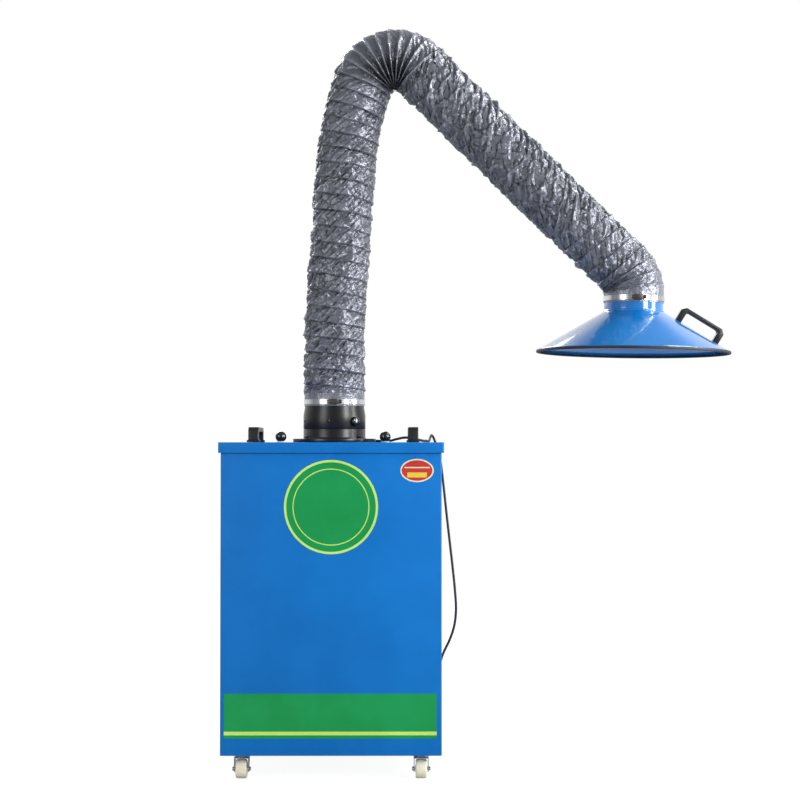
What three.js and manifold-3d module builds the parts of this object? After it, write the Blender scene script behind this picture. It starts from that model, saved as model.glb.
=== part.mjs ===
// A mobile welding fume extractor: a blue cabinet on four castors, with two pleated filter cartridges,
// a dust drawer and a centrifugal fan inside, and on its lid a swivelling arm of two links, covered by
// a wire ribbed hose, that carries a round hood.
// Millimetres, +Z up. The cabinet faces -Y and the arm folds in the XZ plane, towards +X.
import * as THREE from 'three';
import { mergeVertices } from 'three/addons/utils/BufferGeometryUtils.js';
import Module from 'manifold-3d';

const wasm = await Module();
wasm.setup();

// Driving sizes
const castor_height = 64;
const body_width = 564;
const body_depth = 500;
const cabinet_height = 796;
const duct_radius = 80;
const sheet = 1.5;
const plate = 2;
const seat_gap = 0.3;
const running_gap = 0.5;
const overrun = 1;
const merge_reach = 1e-4;

// Facets round a large form, a middling one and a small one
const wide_sides = 24;
const round_sides = 20;
const small_sides = 12;
const hex_sides = 6;

// Finishes
const finish = (color, roughness, metalness) =>
  new THREE.MeshStandardMaterial({ color, roughness, metalness });
const blue_paint = finish('#1b74c6', 0.45, 0.1);
const hood_paint = finish('#2b86d8', 0.3, 0.1);
const black_paint = finish('#232427', 0.5, 0.1);
const black_plastic = finish('#1d1d20', 0.4, 0);
const galvanised = finish('#b9bcc0', 0.5, 0.8);
const bright_steel = finish('#d0d2d4', 0.25, 1);
const cream_nylon = finish('#e3dcc4', 0.5, 0);
const grey_fabric = finish('#6b6b74', 0.8, 0);
const filter_paper = finish('#e6e4da', 0.9, 0);
const black_rubber = finish('#19191b', 0.8, 0);
const motor_paint = finish('#7d8a92', 0.5, 0.3);
const box_plastic = finish('#c9cbc7', 0.5, 0);
const green_plastic = finish('#1f9a4a', 0.4, 0);
const red_plastic = finish('#c8281e', 0.4, 0);

// Solids: a closed mesh becomes a manifold, so that it can be cut and joined
function merge(geometry) {
  const bare = geometry.clone();
  bare.deleteAttribute('normal');
  bare.deleteAttribute('uv');
  return mergeVertices(bare, merge_reach);
}

function solid(geometry) {
  const merged = merge(geometry);
  return new wasm.Manifold(new wasm.Mesh({
    numProp: 3,
    vertProperties: merged.attributes.position.array,
    triVerts: new Uint32Array(merged.index.array),
  }));
}

function geometryOf(manifold) {
  const mesh = manifold.getMesh();
  const geometry = new THREE.BufferGeometry();
  geometry.setAttribute('position', new THREE.BufferAttribute(mesh.vertProperties, 3));
  geometry.setIndex(new THREE.BufferAttribute(mesh.triVerts, 1));
  geometry.computeVertexNormals();
  return geometry;
}

const joined = (...pieces) => geometryOf(pieces.map(solid).reduce((a, b) => a.add(b)));

const cut = (piece, ...holes) =>
  geometryOf(holes.map(solid).reduce((rest, hole) => rest.subtract(hole), solid(piece)));

// Basic forms, placed by the middle of the form or by its two ends
const box = (size_x, size_y, size_z, x, y, z) =>
  new THREE.BoxGeometry(size_x, size_y, size_z).translate(x, y, z);

// A box from its lowest to its highest corner
const block = (low, high) => box(
  high[0] - low[0], high[1] - low[1], high[2] - low[2],
  (low[0] + high[0]) / 2, (low[1] + high[1]) / 2, (low[2] + high[2]) / 2,
);

// A round bar that stands on the point given, along Z, or that is centred on it, along X or Y
const round_z = (radius, height, x, y, z, sides = round_sides) =>
  new THREE.CylinderGeometry(radius, radius, height, sides).rotateX(Math.PI / 2)
    .translate(x, y, z + height / 2);
const round_x = (radius, length, x, y, z, sides = round_sides) =>
  new THREE.CylinderGeometry(radius, radius, length, sides).rotateZ(Math.PI / 2).translate(x, y, z);
const round_y = (radius, length, x, y, z, sides = round_sides) =>
  new THREE.CylinderGeometry(radius, radius, length, sides).translate(x, y, z);

// An outline in XY, pushed up along Z, or one in XZ or YZ, pushed both ways along the third axis
const pushed_z = (shape, height, z) =>
  new THREE.ExtrudeGeometry(shape, { depth: height, bevelEnabled: false }).translate(0, 0, z);
const pushed_y = (shape, width, y) =>
  new THREE.ExtrudeGeometry(shape, { depth: width, bevelEnabled: false })
    .rotateX(Math.PI / 2).translate(0, y + width / 2, 0);
const pushed_x = (shape, width, x) =>
  new THREE.ExtrudeGeometry(shape, { depth: width, bevelEnabled: false })
    .rotateZ(Math.PI / 2).rotateY(Math.PI / 2).translate(x - width / 2, 0, 0);

// A turned form about Z: its profile, of [radius, height], closes on itself or ends on the axis
function turned(profile, sides) {
  const on_axis = profile[0][0] === 0;
  const points = on_axis ? profile : [...profile, profile[0]];
  const lathe = new THREE.LatheGeometry(points.map(([r, z]) => new THREE.Vector2(r, z)), sides);
  return outward(lathe.rotateX(Math.PI / 2));
}

// The same form with its faces turned outwards
function outward(geometry) {
  const merged = merge(geometry);
  const place = merged.attributes.position;
  const corner = [0, 1, 2].map(() => new THREE.Vector3());
  let volume = 0;
  for (let i = 0; i < merged.index.count; i += 3) {
    corner.forEach((point, k) => point.fromBufferAttribute(place, merged.index.getX(i + k)));
    volume += corner[0].dot(corner[1].clone().cross(corner[2]));
  }
  if (volume < 0) {
    const index = merged.index.array;
    for (let i = 0; i < index.length; i += 3) [index[i], index[i + 1]] = [index[i + 1], index[i]];
  }
  merged.computeVertexNormals();
  return merged;
}

// A skin over rings of points, each ring joined to the next: the last one joins the first, or is closed
// by a flat end as the first one is
function skin(rings, has_ends) {
  const sides = rings[0].length;
  const places = rings.flat().flatMap((point) => [point.x, point.y, point.z]);
  const faces = [];
  rings.slice(has_ends ? 1 : 0).forEach((ring, i) => {
    const next = (i + 1) % rings.length;
    for (let k = 0; k < sides; k += 1) {
      const a = i * sides + k;
      const b = i * sides + (k + 1) % sides;
      const c = next * sides + (k + 1) % sides;
      const d = next * sides + k;
      faces.push(a, b, c, a, c, d);
    }
  });
  const last = (rings.length - 1) * sides;
  for (let k = 1; has_ends && k < sides - 1; k += 1) {
    faces.push(0, k + 1, k, last, last + k, last + k + 1);
  }
  const geometry = new THREE.BufferGeometry();
  geometry.setAttribute('position', new THREE.Float32BufferAttribute(places, 3));
  geometry.setIndex(faces);
  return outward(geometry);
}
const loft = (rings) => skin(rings, false);
const rod = (rings) => skin(rings, true);

// A sheet metal strip of one thickness along a line of points, with a round bend at each corner
function bentStrip(points, thickness, bend_radius) {
  const bend_steps = 3;
  const line = [];
  points.forEach(([x, y], i) => {
    const here = new THREE.Vector2(x, y);
    if (i === 0 || i === points.length - 1) {
      line.push(here);
      return;
    }
    const back = new THREE.Vector2(...points[i - 1]).sub(here).normalize();
    const ahead = new THREE.Vector2(...points[i + 1]).sub(here).normalize();
    const half = Math.acos(back.dot(ahead)) / 2;
    const reach = bend_radius / Math.tan(half);
    const from = here.clone().addScaledVector(back, reach);
    const to = here.clone().addScaledVector(ahead, reach);
    const curve = new THREE.QuadraticBezierCurve(from, here, to);
    line.push(...curve.getPoints(bend_steps));
  });
  const side = (share) => line.map((point, i) => {
    const before = line[Math.max(i - 1, 0)];
    const after = line[Math.min(i + 1, line.length - 1)];
    const along = after.clone().sub(before).normalize();
    return point.clone().add(new THREE.Vector2(-along.y, along.x).multiplyScalar(share * thickness));
  });
  return new THREE.Shape([...side(0.5), ...side(-0.5).reverse()]);
}

// Assembly: each piece is one named mesh in the group of what carries it
const cabinet = new THREE.Group();
const arm = new THREE.Group();
const cord = new THREE.Group();

function add(group, name, geometry, material) {
  const mesh = new THREE.Mesh(geometry, material);
  mesh.name = name;
  group.add(mesh);
}

// Cabinet shell
const body_half = body_width / 2;
const depth_half = body_depth / 2;
const body_floor = castor_height;
const lid_top = castor_height + cabinet_height;
const wrap_top = lid_top - sheet - seat_gap;
const wrap_bend = 4;
const rear_flange = 25;
const inner_half = body_half - sheet - seat_gap;
const inner_depth = depth_half - sheet - seat_gap;
const panel_face = depth_half + seat_gap + sheet;

const wrap_x = body_half - sheet / 2;
const wrap_y = depth_half - sheet / 2;
const wrap_line = [
  [rear_flange - wrap_x, wrap_y],
  [-wrap_x, wrap_y],
  [-wrap_x, -wrap_y],
  [wrap_x, -wrap_y],
  [wrap_x, wrap_y],
  [wrap_x - rear_flange, wrap_y],
];
const wrap = pushed_z(bentStrip(wrap_line, sheet, wrap_bend), wrap_top - body_floor, body_floor);
add(cabinet, 'body_wrap', outward(wrap), blue_paint);

// An upright outline with round corners
function rounded(half_x, half_y, radius) {
  const corner_steps = 2;
  const shape = new THREE.Shape();
  const x = half_x - radius;
  const y = half_y - radius;
  shape.absarc(x, y, radius, 0, Math.PI / 2);
  shape.absarc(-x, y, radius, Math.PI / 2, Math.PI);
  shape.absarc(-x, -y, radius, Math.PI, 1.5 * Math.PI);
  shape.absarc(x, -y, radius, 1.5 * Math.PI, 2 * Math.PI);
  return new THREE.Shape(shape.getPoints(corner_steps));
}

// Base tray with the four castor plates welded under it
const tray_wall = 30;
const castor_plate = 60;
const castor_plate_thickness = 3;
const castor_side_inset = 52;
const castor_end_inset = 60;
const castor_x = body_half - castor_side_inset;
const castor_y = depth_half - castor_end_inset;
const castor_corners = [
  ['front_left', -castor_x, -castor_y],
  ['front_right', castor_x, -castor_y],
  ['rear_left', -castor_x, castor_y],
  ['rear_right', castor_x, castor_y],
];
const tray_corner = wrap_bend + plate;
const tray = cut(
  pushed_z(rounded(inner_half, inner_depth, tray_corner), tray_wall, body_floor),
  pushed_z(
    rounded(inner_half - sheet, inner_depth - sheet, tray_corner - sheet),
    tray_wall,
    body_floor + plate,
  ),
);
const castor_plates = castor_corners.map(([, x, y]) => block(
  [x - castor_plate / 2, y - castor_plate / 2, body_floor - castor_plate_thickness],
  [x + castor_plate / 2, y + castor_plate / 2, body_floor + plate / 2],
));
add(cabinet, 'base_tray', joined(tray, ...castor_plates), blue_paint);

// Lid: a folded pan with holes for the duct and the two rapping rods
const lid_overhang = 6;
const lid_skirt = 27;
const lid_corner = 5;
const duct_wall = sheet;
const lid_hole_step = 2;
const lid_hole = duct_radius - lid_hole_step;
const filter_gap = 74;
const filter_side_gap = 43.2;
const filter_radius = (inner_half - filter_side_gap - filter_gap / 2) / 2;
const filter_x = filter_gap / 2 + filter_radius;
const rod_x = filter_x;
const rod_y = -110;
const rod_radius = 5;
const bush_wall = 2.6;
const bush_radius = rod_radius + running_gap + bush_wall;

const lid_half = body_half + lid_overhang;
const lid_half_depth = depth_half + lid_overhang;
const lid_foot = lid_top - lid_skirt;
const lid_pan = pushed_z(rounded(lid_half, lid_half_depth, lid_corner), lid_skirt, lid_foot);
const lid_inside = pushed_z(
  rounded(lid_half - sheet, lid_half_depth - sheet, lid_corner - sheet),
  lid_skirt,
  lid_foot - sheet,
);
const bushHole = (x) =>
  round_z(bush_radius + seat_gap, lid_skirt, x, rod_y, lid_top - lid_skirt / 2, small_sides);
add(cabinet, 'lid', cut(
  lid_pan,
  lid_inside,
  round_z(lid_hole, lid_skirt, 0, 0, lid_top - lid_skirt / 2, wide_sides),
  bushHole(-rod_x),
  bushHole(rod_x),
), blue_paint);

// Rear panel: openings for the filter door and the drawer, and pressed louvres for the outlet
const door_margin = 42.2;
const door_half = inner_half - door_margin;
const door_rise = 383;
const door_low = body_floor + door_rise;
const plenum_height = 97;
const tube_sheet_z = lid_top - plenum_height;
const door_head = 4;
const door_high = tube_sheet_z - door_head;
const door_gap = 2;
const fan_room_height = 266;
const deck_z = body_floor + fan_room_height;
const drawer_margin = 95.2;
const drawer_half = inner_half - drawer_margin;
const drawer_floor = deck_z + plate + seat_gap;
const drawer_height = 90;
const drawer_gap = 3;
const panel_margin = 2;
const panel_low = body_floor + panel_margin;
const panel_high = lid_top - sheet - panel_margin;
const panel_y = depth_half + seat_gap;
const fan_x = 60;
const louvre_half = 95;
const louvre_rise = 18;
const louvre_low = body_floor + louvre_rise;
const louvre_pitch = 16;
const louvre_count = 5;
const louvre_height = 9;
const louvre_reach = 8;

// A louvre's section in YZ: a hood that leans out from the panel and is open below
function louvreHood(z) {
  const inner = panel_face - sheet / 2;
  return new THREE.Shape([
    new THREE.Vector2(inner, z + louvre_height + sheet),
    new THREE.Vector2(inner, z + louvre_height),
    new THREE.Vector2(panel_face + louvre_reach - sheet, z + louvre_height / 4),
    new THREE.Vector2(panel_face + louvre_reach - sheet, z),
    new THREE.Vector2(panel_face + louvre_reach, z),
    new THREE.Vector2(panel_face + louvre_reach, z + louvre_height / 2),
  ]);
}
const louvre_z = Array.from({ length: louvre_count }, (_, i) => louvre_low + i * louvre_pitch);
const rear_sheet = block([-inner_half, panel_y, panel_low], [inner_half, panel_face, panel_high]);
const door_opening = block(
  [-door_half - door_gap, panel_y - overrun, door_low - door_gap],
  [door_half + door_gap, panel_face + overrun, door_high + door_gap],
);
const drawer_opening = block(
  [-drawer_half - drawer_gap, panel_y - overrun, drawer_floor - plate],
  [drawer_half + drawer_gap, panel_face + overrun, drawer_floor + drawer_height + drawer_gap],
);
const louvre_slots = louvre_z.map((z) => block(
  [fan_x - louvre_half, panel_y - overrun, z],
  [fan_x + louvre_half, panel_face + overrun, z + louvre_height],
));
const louvre_hoods = louvre_z.map((z) => outward(pushed_x(louvreHood(z), 2 * louvre_half, fan_x)));
const rear_open = cut(rear_sheet, door_opening, drawer_opening, ...louvre_slots);
add(cabinet, 'rear_panel', joined(rear_open, ...louvre_hoods), blue_paint);

// Filter door: a folded pan, hung on a long hinge at its left edge, with a bow handle
const door_depth = 17;
const knuckle_radius = 4;
const pin_radius = 2;
const hinge_x = -door_half - door_gap / 2;
const hinge_y = panel_face + knuckle_radius + seat_gap;
const hinge_height = 300;
const hinge_low = (door_low + door_high - hinge_height) / 2;
const knuckle_count = 5;
const knuckle = hinge_height / knuckle_count;
const leaf_width = 20;
const door_pan = cut(
  block([-door_half, panel_face - door_depth, door_low], [door_half, panel_face, door_high]),
  block(
    [sheet - door_half, panel_face - door_depth - overrun, door_low + sheet],
    [door_half - sheet, panel_face - sheet, door_high - sheet],
  ),
);
// The door's own knuckles lie between those of the fixed leaf
const knuckles = Array.from({ length: knuckle_count }, (_, i) => i);
const door_knuckles = knuckles.filter((i) => i % 2).flatMap((i) => {
  const z = hinge_low + i * knuckle + running_gap;
  const height = knuckle - 2 * running_gap;
  return [
    round_z(knuckle_radius, height, hinge_x, hinge_y, z, small_sides),
    block(
      [hinge_x, panel_face - sheet / 2, z],
      [hinge_x + leaf_width, hinge_y - pin_radius, z + height],
    ),
  ];
});
const door_bore = round_z(
  pin_radius + running_gap, hinge_height, hinge_x, hinge_y, hinge_low, small_sides,
);
add(cabinet, 'rear_door', cut(joined(door_pan, ...door_knuckles), door_bore), blue_paint);

const leaf_y = panel_face + seat_gap;
const pin_length_inside = hinge_height - running_gap;
const fixed_knuckles = knuckles.filter((i) => i % 2 === 0).flatMap((i) => {
  const z = hinge_low + i * knuckle;
  const height = knuckle - running_gap;
  return [
    round_z(knuckle_radius, height, hinge_x, hinge_y, z, small_sides),
    block([hinge_x - leaf_width, leaf_y, z], [hinge_x, leaf_y + sheet, z + height]),
  ];
});
const leaf_back = block(
  [hinge_x - leaf_width, leaf_y, hinge_low],
  [hinge_x - knuckle_radius - running_gap, leaf_y + sheet, hinge_low + pin_length_inside],
);
const hinge_pin = round_z(pin_radius, pin_length_inside, hinge_x, hinge_y, hinge_low, small_sides);
add(cabinet, 'door_hinge', joined(leaf_back, hinge_pin, ...fixed_knuckles), galvanised);

// A bow handle's outline: two legs and a bar, with its outer corners cut and its inner ones eased
function bow(length, height, leg, bar, corner) {
  const half = length / 2;
  const inner = half - leg;
  const eased = corner / 2;
  const right = [
    [half, 0],
    [half, height - corner],
    [half - corner, height],
  ];
  const inside = [
    [inner - eased, height - bar],
    [inner, height - bar - eased],
    [inner, 0],
  ];
  const mirror = ([x, y]) => [-x, y];
  const points = [
    ...right,
    ...right.map(mirror).reverse(),
    ...inside.map(mirror).reverse(),
    ...inside,
  ];
  return new THREE.Shape(points.map(([x, y]) => new THREE.Vector2(x, y)));
}

// Pull handles on the door and on the drawer: the bow lies across the face and stands out from it
const pull_length = 110;
const pull_height = 30;
const pull_leg = 12;
const pull_bar = 8;
const pull_corner = 6;
const pull_width = 12;
const pull = bow(pull_length, pull_height, pull_leg, pull_bar, pull_corner);
const pull_form = () => new THREE.ExtrudeGeometry(pull, { depth: pull_width, bevelEnabled: false })
  .translate(0, 0, -pull_width / 2);
const pull_seat = panel_face + seat_gap;
const pull_inset = 30;
const door_pull_x = door_half - pull_inset;
const door_pull_z = (door_low + door_high) / 2;
add(
  cabinet,
  'door_handle',
  pull_form().rotateY(Math.PI / 2).translate(door_pull_x, pull_seat, door_pull_z),
  black_plastic,
);

// Dust drawer: an open tray that slides on the fan deck, with a face over the panel
const drawer_front = panel_face + seat_gap;
const drawer_length = 420;
const drawer_lip = 9;
const drawer_back = drawer_front - drawer_length;
const drawer_top = drawer_floor + drawer_height;
const drawer_tray = cut(
  block([-drawer_half, drawer_back, drawer_floor], [drawer_half, drawer_front, drawer_top]),
  block(
    [sheet - drawer_half, drawer_back + sheet, drawer_floor + sheet],
    [drawer_half - sheet, drawer_front - sheet, drawer_top + overrun],
  ),
);
const drawer_face = block(
  [-drawer_half - drawer_lip, drawer_front, drawer_floor - drawer_lip],
  [drawer_half + drawer_lip, drawer_front + sheet, drawer_top + drawer_lip],
);
const drawer_weld = block(
  [-drawer_half, drawer_front - sheet, drawer_floor],
  [drawer_half, drawer_front + sheet, drawer_top],
);
add(cabinet, 'dust_drawer', joined(drawer_tray, drawer_face, drawer_weld), blue_paint);
add(
  cabinet,
  'drawer_handle',
  pull_form().translate(0, drawer_front + sheet + seat_gap, drawer_floor + drawer_height / 2),
  black_plastic,
);

// Air path: inlet duct, tube sheet, hopper, fan deck and the riser that leads clean air to the fan
const filter_y = rod_y;
const pleat_height = 40;
const core_radius = filter_radius - pleat_height;
const inlet_step = 6;
const inlet_bore = duct_radius - inlet_step;
const inlet_flange = 20;
const inlet_skirt = 8;
const riser_inset = 5;
const riser_front = 60;
const riser_width = 75;
const riser_depth = 165;
const riser_low = [riser_inset - inner_half, riser_front];
const riser_high = [riser_low[0] + riser_width, riser_low[1] + riser_depth];

const rectangle = (low_x, low_y, high_x, high_y, z) => [
  new THREE.Vector3(low_x, low_y, z),
  new THREE.Vector3(high_x, low_y, z),
  new THREE.Vector3(high_x, high_y, z),
  new THREE.Vector3(low_x, high_y, z),
];

// The riser's own outline, made larger by a margin
const riser = (margin, z) => rectangle(
  riser_low[0] - margin, riser_low[1] - margin, riser_high[0] + margin, riser_high[1] + margin, z,
);
const riserBlock = (margin, low_z, high_z) => block(
  [riser_low[0] - margin, riser_low[1] - margin, low_z],
  [riser_high[0] + margin, riser_high[1] + margin, high_z],
);
const riser_top = tube_sheet_z + plate + inlet_skirt;
const riser_foot = deck_z - inlet_skirt;
const panelPlate = (z) => pushed_z(rounded(inner_half, inner_depth, tray_corner), plate, z);

// The riser is welded into the fan deck
const riser_duct = loft([
  riser(0, riser_foot),
  riser(0, riser_top),
  riser(-duct_wall, riser_top),
  riser(-duct_wall, riser_foot),
]);
const deck_sheet = cut(
  panelPlate(deck_z),
  riserBlock(-duct_wall / 2, deck_z - overrun, deck_z + plate + overrun),
);
add(cabinet, 'fan_deck', joined(deck_sheet, riser_duct), galvanised);

add(cabinet, 'tube_sheet', cut(
  panelPlate(tube_sheet_z),
  riserBlock(seat_gap, tube_sheet_z - overrun, tube_sheet_z + plate + overrun),
  round_z(inlet_bore + duct_wall + seat_gap, 3 * plate, 0, 0, tube_sheet_z - plate, round_sides),
  round_z(core_radius, 3 * plate, -filter_x, filter_y, tube_sheet_z - plate),
  round_z(core_radius, 3 * plate, filter_x, filter_y, tube_sheet_z - plate),
), galvanised);

const inlet_top = lid_top - sheet - seat_gap;
add(cabinet, 'inlet_duct', turned([
  [inlet_bore, tube_sheet_z - inlet_skirt],
  [inlet_bore, inlet_top],
  [inlet_bore + inlet_flange, inlet_top],
  [inlet_bore + inlet_flange, inlet_top - plate],
  [inlet_bore + duct_wall, inlet_top - plate],
  [inlet_bore + duct_wall, tube_sheet_z - inlet_skirt],
], round_sides), galvanised);

// Hopper: sloping plates that lead the dust from the walls to the drawer
const hopper_height = 45;
const hopper_low = drawer_top + drawer_gap;
const hopper_high = hopper_low + hopper_height;
const hopper_margin = 3;
const hopper_inset = 30;
const hopperRing = (inset, z, open) => rectangle(
  -open[0] + inset, -inner_depth + open[1] + inset, open[0] - inset, inner_depth - open[2] - inset, z,
);
const hopper_wide = [inner_half, tray_corner, hopper_inset / 2];
const hopper_narrow = [
  drawer_half - hopper_margin,
  inner_depth + drawer_back + hopper_margin,
  hopper_inset,
];
add(cabinet, 'dust_hopper', cut(
  loft([
    hopperRing(0, hopper_low, hopper_narrow),
    hopperRing(0, hopper_high, hopper_wide),
    hopperRing(plate, hopper_high, hopper_wide),
    hopperRing(plate, hopper_low, hopper_narrow),
  ]),
  riserBlock(seat_gap, hopper_low - overrun, hopper_high + overrun),
), galvanised);

// Filter cartridges: a steel core with its end caps, and the pleated paper round it
const filter_length = 300;
const filter_top = tube_sheet_z - seat_gap;
const filter_flange = 6;
const filter_cap = 6;
const core_wall = sheet;
const core_sides = 16;
const pleat_count = 36;
const pleat_gap = 1;
const pleat_depth_share = 0.78;

function pleatPack() {
  const outer = filter_radius - 2 * pleat_gap;
  const steps = 2 * pleat_count;
  const star = Array.from({ length: steps }, (_, i) => {
    const angle = (i / steps) * 2 * Math.PI;
    const radius = i % 2 ? outer * pleat_depth_share : outer;
    return new THREE.Vector2(radius * Math.cos(angle), radius * Math.sin(angle));
  });
  const shape = new THREE.Shape(star);
  const bore = new THREE.Path();
  bore.absarc(0, 0, core_radius + pleat_gap, 0, 2 * Math.PI, true);
  shape.holes.push(new THREE.Path(bore.getPoints(small_sides).slice(0, -1)));
  const low = filter_top - filter_length + filter_cap + seat_gap;
  const high = filter_top - filter_flange - seat_gap;
  return pushed_z(shape, high - low, low);
}
for (const [side, x] of [['left', -filter_x], ['right', filter_x]]) {
  const foot = filter_top - filter_length;
  add(cabinet, `filter_core_${side}`, turned([
    [0, foot],
    [filter_radius, foot],
    [filter_radius, foot + filter_cap],
    [core_radius, foot + filter_cap],
    [core_radius, filter_top - filter_flange],
    [filter_radius, filter_top - filter_flange],
    [filter_radius, filter_top],
    [core_radius - core_wall, filter_top],
    [core_radius - core_wall, foot + filter_cap / 2],
    [0, foot + filter_cap / 2],
  ], core_sides).translate(x, filter_y, 0), galvanised);
  add(cabinet, `filter_pleats_${side}`, pleatPack().translate(x, filter_y, 0), filter_paper);
}

// Rapping rods: each hangs through a nylon bush in the lid, with a ball to lift it by and a weight
// that drops on the floor of its filter and shakes the dust off
const bush_flange = 12;
const bush_lip = 1.5;
const bush_length = 14;
const ball_radius = 14.5;
const ball_flat_share = 0.86;
const ball_sides = 14;
const ball_steps = 6;
const weight_radius = 28;
const weight_height = 26;
const bush_top = lid_top + seat_gap + bush_lip;
const ball_z = bush_top + seat_gap + ball_radius * ball_flat_share;
const weight_foot = filter_top - filter_length + filter_cap / 2 + seat_gap;

function ballProfile() {
  const first = Math.PI - Math.acos(ball_flat_share);
  const arc = Array.from({ length: ball_steps + 1 }, (_, i) => {
    const angle = first * (1 - i / ball_steps);
    return [ball_radius * Math.sin(angle), ball_radius * Math.cos(angle)];
  });
  arc[ball_steps][0] = 0;
  return [[0, arc[0][1]], ...arc];
}
for (const [side, x] of [['left', -rod_x], ['right', rod_x]]) {
  add(cabinet, `rod_bush_${side}`, turned([
    [bush_radius - bush_wall, bush_top],
    [bush_flange, bush_top],
    [bush_flange, bush_top - bush_lip],
    [bush_radius, bush_top - bush_lip],
    [bush_radius, bush_top - bush_length],
    [bush_radius - bush_wall, bush_top - bush_length],
  ], small_sides).translate(x, rod_y, 0), cream_nylon);
  add(cabinet, `rapping_rod_${side}`, turned([
    [0, weight_foot],
    [weight_radius, weight_foot],
    [weight_radius, weight_foot + weight_height],
    [rod_radius, weight_foot + weight_height],
    [rod_radius, bush_top],
    [0, bush_top],
  ], small_sides).translate(x, rod_y, 0), bright_steel);
  const ball = turned(ballProfile(), ball_sides).translate(x, rod_y, ball_z);
  add(cabinet, `ball_knob_${side}`, ball, black_plastic);
}

// Fan: a spiral housing that blows out through the louvres, and its motor on a foot
const fan_y = 0;
const fan_rise = 131;
const fan_z = body_floor + fan_rise;
const scroll_width = 76;
const scroll_wall = sheet;
const scroll_small_radius = 92;
const scroll_large_radius = 122;
const tongue_angle = -20 * Math.PI / 180;
const scroll_end_angle = 1.5 * Math.PI;
const scroll_end_gap = 8;
const scroll_reach = inner_depth - scroll_end_gap;
const inlet_radius = 55;
const shaft_radius = 9;
const shaft_clearance = 4;
const impeller_radius = 84;
const impeller_width = 52;
const impeller_gap = 8;
const hub_radius = 17;
const blade_count = 8;
const blade_root_radius = 46;
const blade_sweep = 50 * Math.PI / 180;
const motor_radius = 62;
const motor_length = 150;
const motor_shaft_length = 60;
const motor_foot_half = 50;
const motor_rib_count = 6;
const motor_rib = 4;
const motor_rib_share = 0.7;

// The housing's outline in YZ: a spiral that opens into a straight outlet
function scrollOutline(margin) {
  const steps = 22;
  const growth = Math.log(scroll_large_radius / scroll_small_radius) / (scroll_end_angle - tongue_angle);
  const points = [];
  for (let i = 0; i <= steps; i += 1) {
    const angle = scroll_end_angle + (tongue_angle - scroll_end_angle) * (i / steps);
    const radius = scroll_small_radius * Math.exp(growth * (angle - tongue_angle)) - margin;
    points.push([fan_y + radius * Math.cos(angle), fan_z + radius * Math.sin(angle)]);
  }
  const outlet_top = points[steps][1] - margin;
  points[steps][1] = outlet_top;
  const end = scroll_reach + (margin > 0 ? overrun : 0);
  points.push([end, outlet_top], [end, points[0][1]]);
  return new THREE.Shape(points.map(([y, z]) => new THREE.Vector2(y, z)));
}
const scroll_half = scroll_width / 2;
add(cabinet, 'fan_scroll', cut(
  outward(pushed_x(scrollOutline(0), scroll_width, fan_x)),
  outward(pushed_x(scrollOutline(scroll_wall), scroll_width - 2 * scroll_wall, fan_x)),
  round_x(inlet_radius, scroll_half, fan_x + scroll_half, fan_y, fan_z, round_sides),
  round_x(shaft_radius + shaft_clearance, scroll_half, fan_x - scroll_half, fan_y, fan_z, small_sides),
), galvanised);

// Impeller: a back plate, backward curved blades and a front ring, on the motor's shaft
function bladeShape() {
  const steps = 2;
  const at = (share, side) => {
    const radius = blade_root_radius + (impeller_radius - sheet - blade_root_radius) * share;
    const angle = -blade_sweep * share * share + side / radius;
    return new THREE.Vector2(radius * Math.cos(angle), radius * Math.sin(angle));
  };
  const shares = Array.from({ length: steps + 1 }, (_, i) => i / steps);
  return new THREE.Shape([
    ...shares.map((share) => at(share, -sheet / 2)),
    ...shares.map((share) => at(share, sheet / 2)).reverse(),
  ]);
}
const impeller_low = fan_x - scroll_half + impeller_gap;
const blades = Array.from({ length: blade_count }, (_, i) =>
  outward(pushed_z(bladeShape(), impeller_width - sheet, sheet / 2)
    .rotateZ((i / blade_count) * 2 * Math.PI)));
const back_plate = round_z(impeller_radius, plate, 0, 0, 0);
const front_ring = turned([
  [inlet_radius, impeller_width],
  [impeller_radius, impeller_width - plate],
  [impeller_radius, impeller_width - 2 * plate],
  [inlet_radius, impeller_width - plate],
], round_sides);
const hub = round_z(hub_radius, impeller_width / 2, 0, 0, 0, small_sides);
const shaft_length = impeller_gap + motor_shaft_length;
const shaft = round_z(shaft_radius, shaft_length, 0, 0, -shaft_length, small_sides);
add(
  cabinet,
  'impeller',
  joined(back_plate, front_ring, hub, shaft, ...blades).rotateY(Math.PI / 2)
    .translate(impeller_low, fan_y, fan_z),
  galvanised,
);

const motor_high = fan_x - scroll_half - seat_gap;
const motor_foot_z = body_floor + plate + seat_gap;
const motor_x = motor_high - motor_length / 2;
const motor_bore = 2 * (motor_shaft_length + running_gap);
const motor_ribs = Array.from({ length: motor_rib_count }, (_, i) =>
  box(motor_length * motor_rib_share, motor_rib, 2 * (motor_radius + motor_rib), 0, 0, 0)
    .rotateX((i / motor_rib_count) * Math.PI).translate(motor_x, fan_y, fan_z));
add(cabinet, 'motor', cut(
  joined(
    round_x(motor_radius, motor_length, motor_x, fan_y, fan_z),
    block(
      [motor_x - motor_foot_half, fan_y - motor_radius, motor_foot_z],
      [motor_x + motor_foot_half, fan_y + motor_radius, motor_foot_z + motor_rib],
    ),
    block(
      [motor_x - motor_foot_half, fan_y - motor_foot_half, motor_foot_z],
      [motor_x + motor_foot_half, fan_y + motor_foot_half, fan_z],
    ),
    ...motor_ribs,
  ),
  round_x(shaft_radius + running_gap, motor_bore, motor_high, fan_y, fan_z, small_sides),
), motor_paint);

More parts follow.
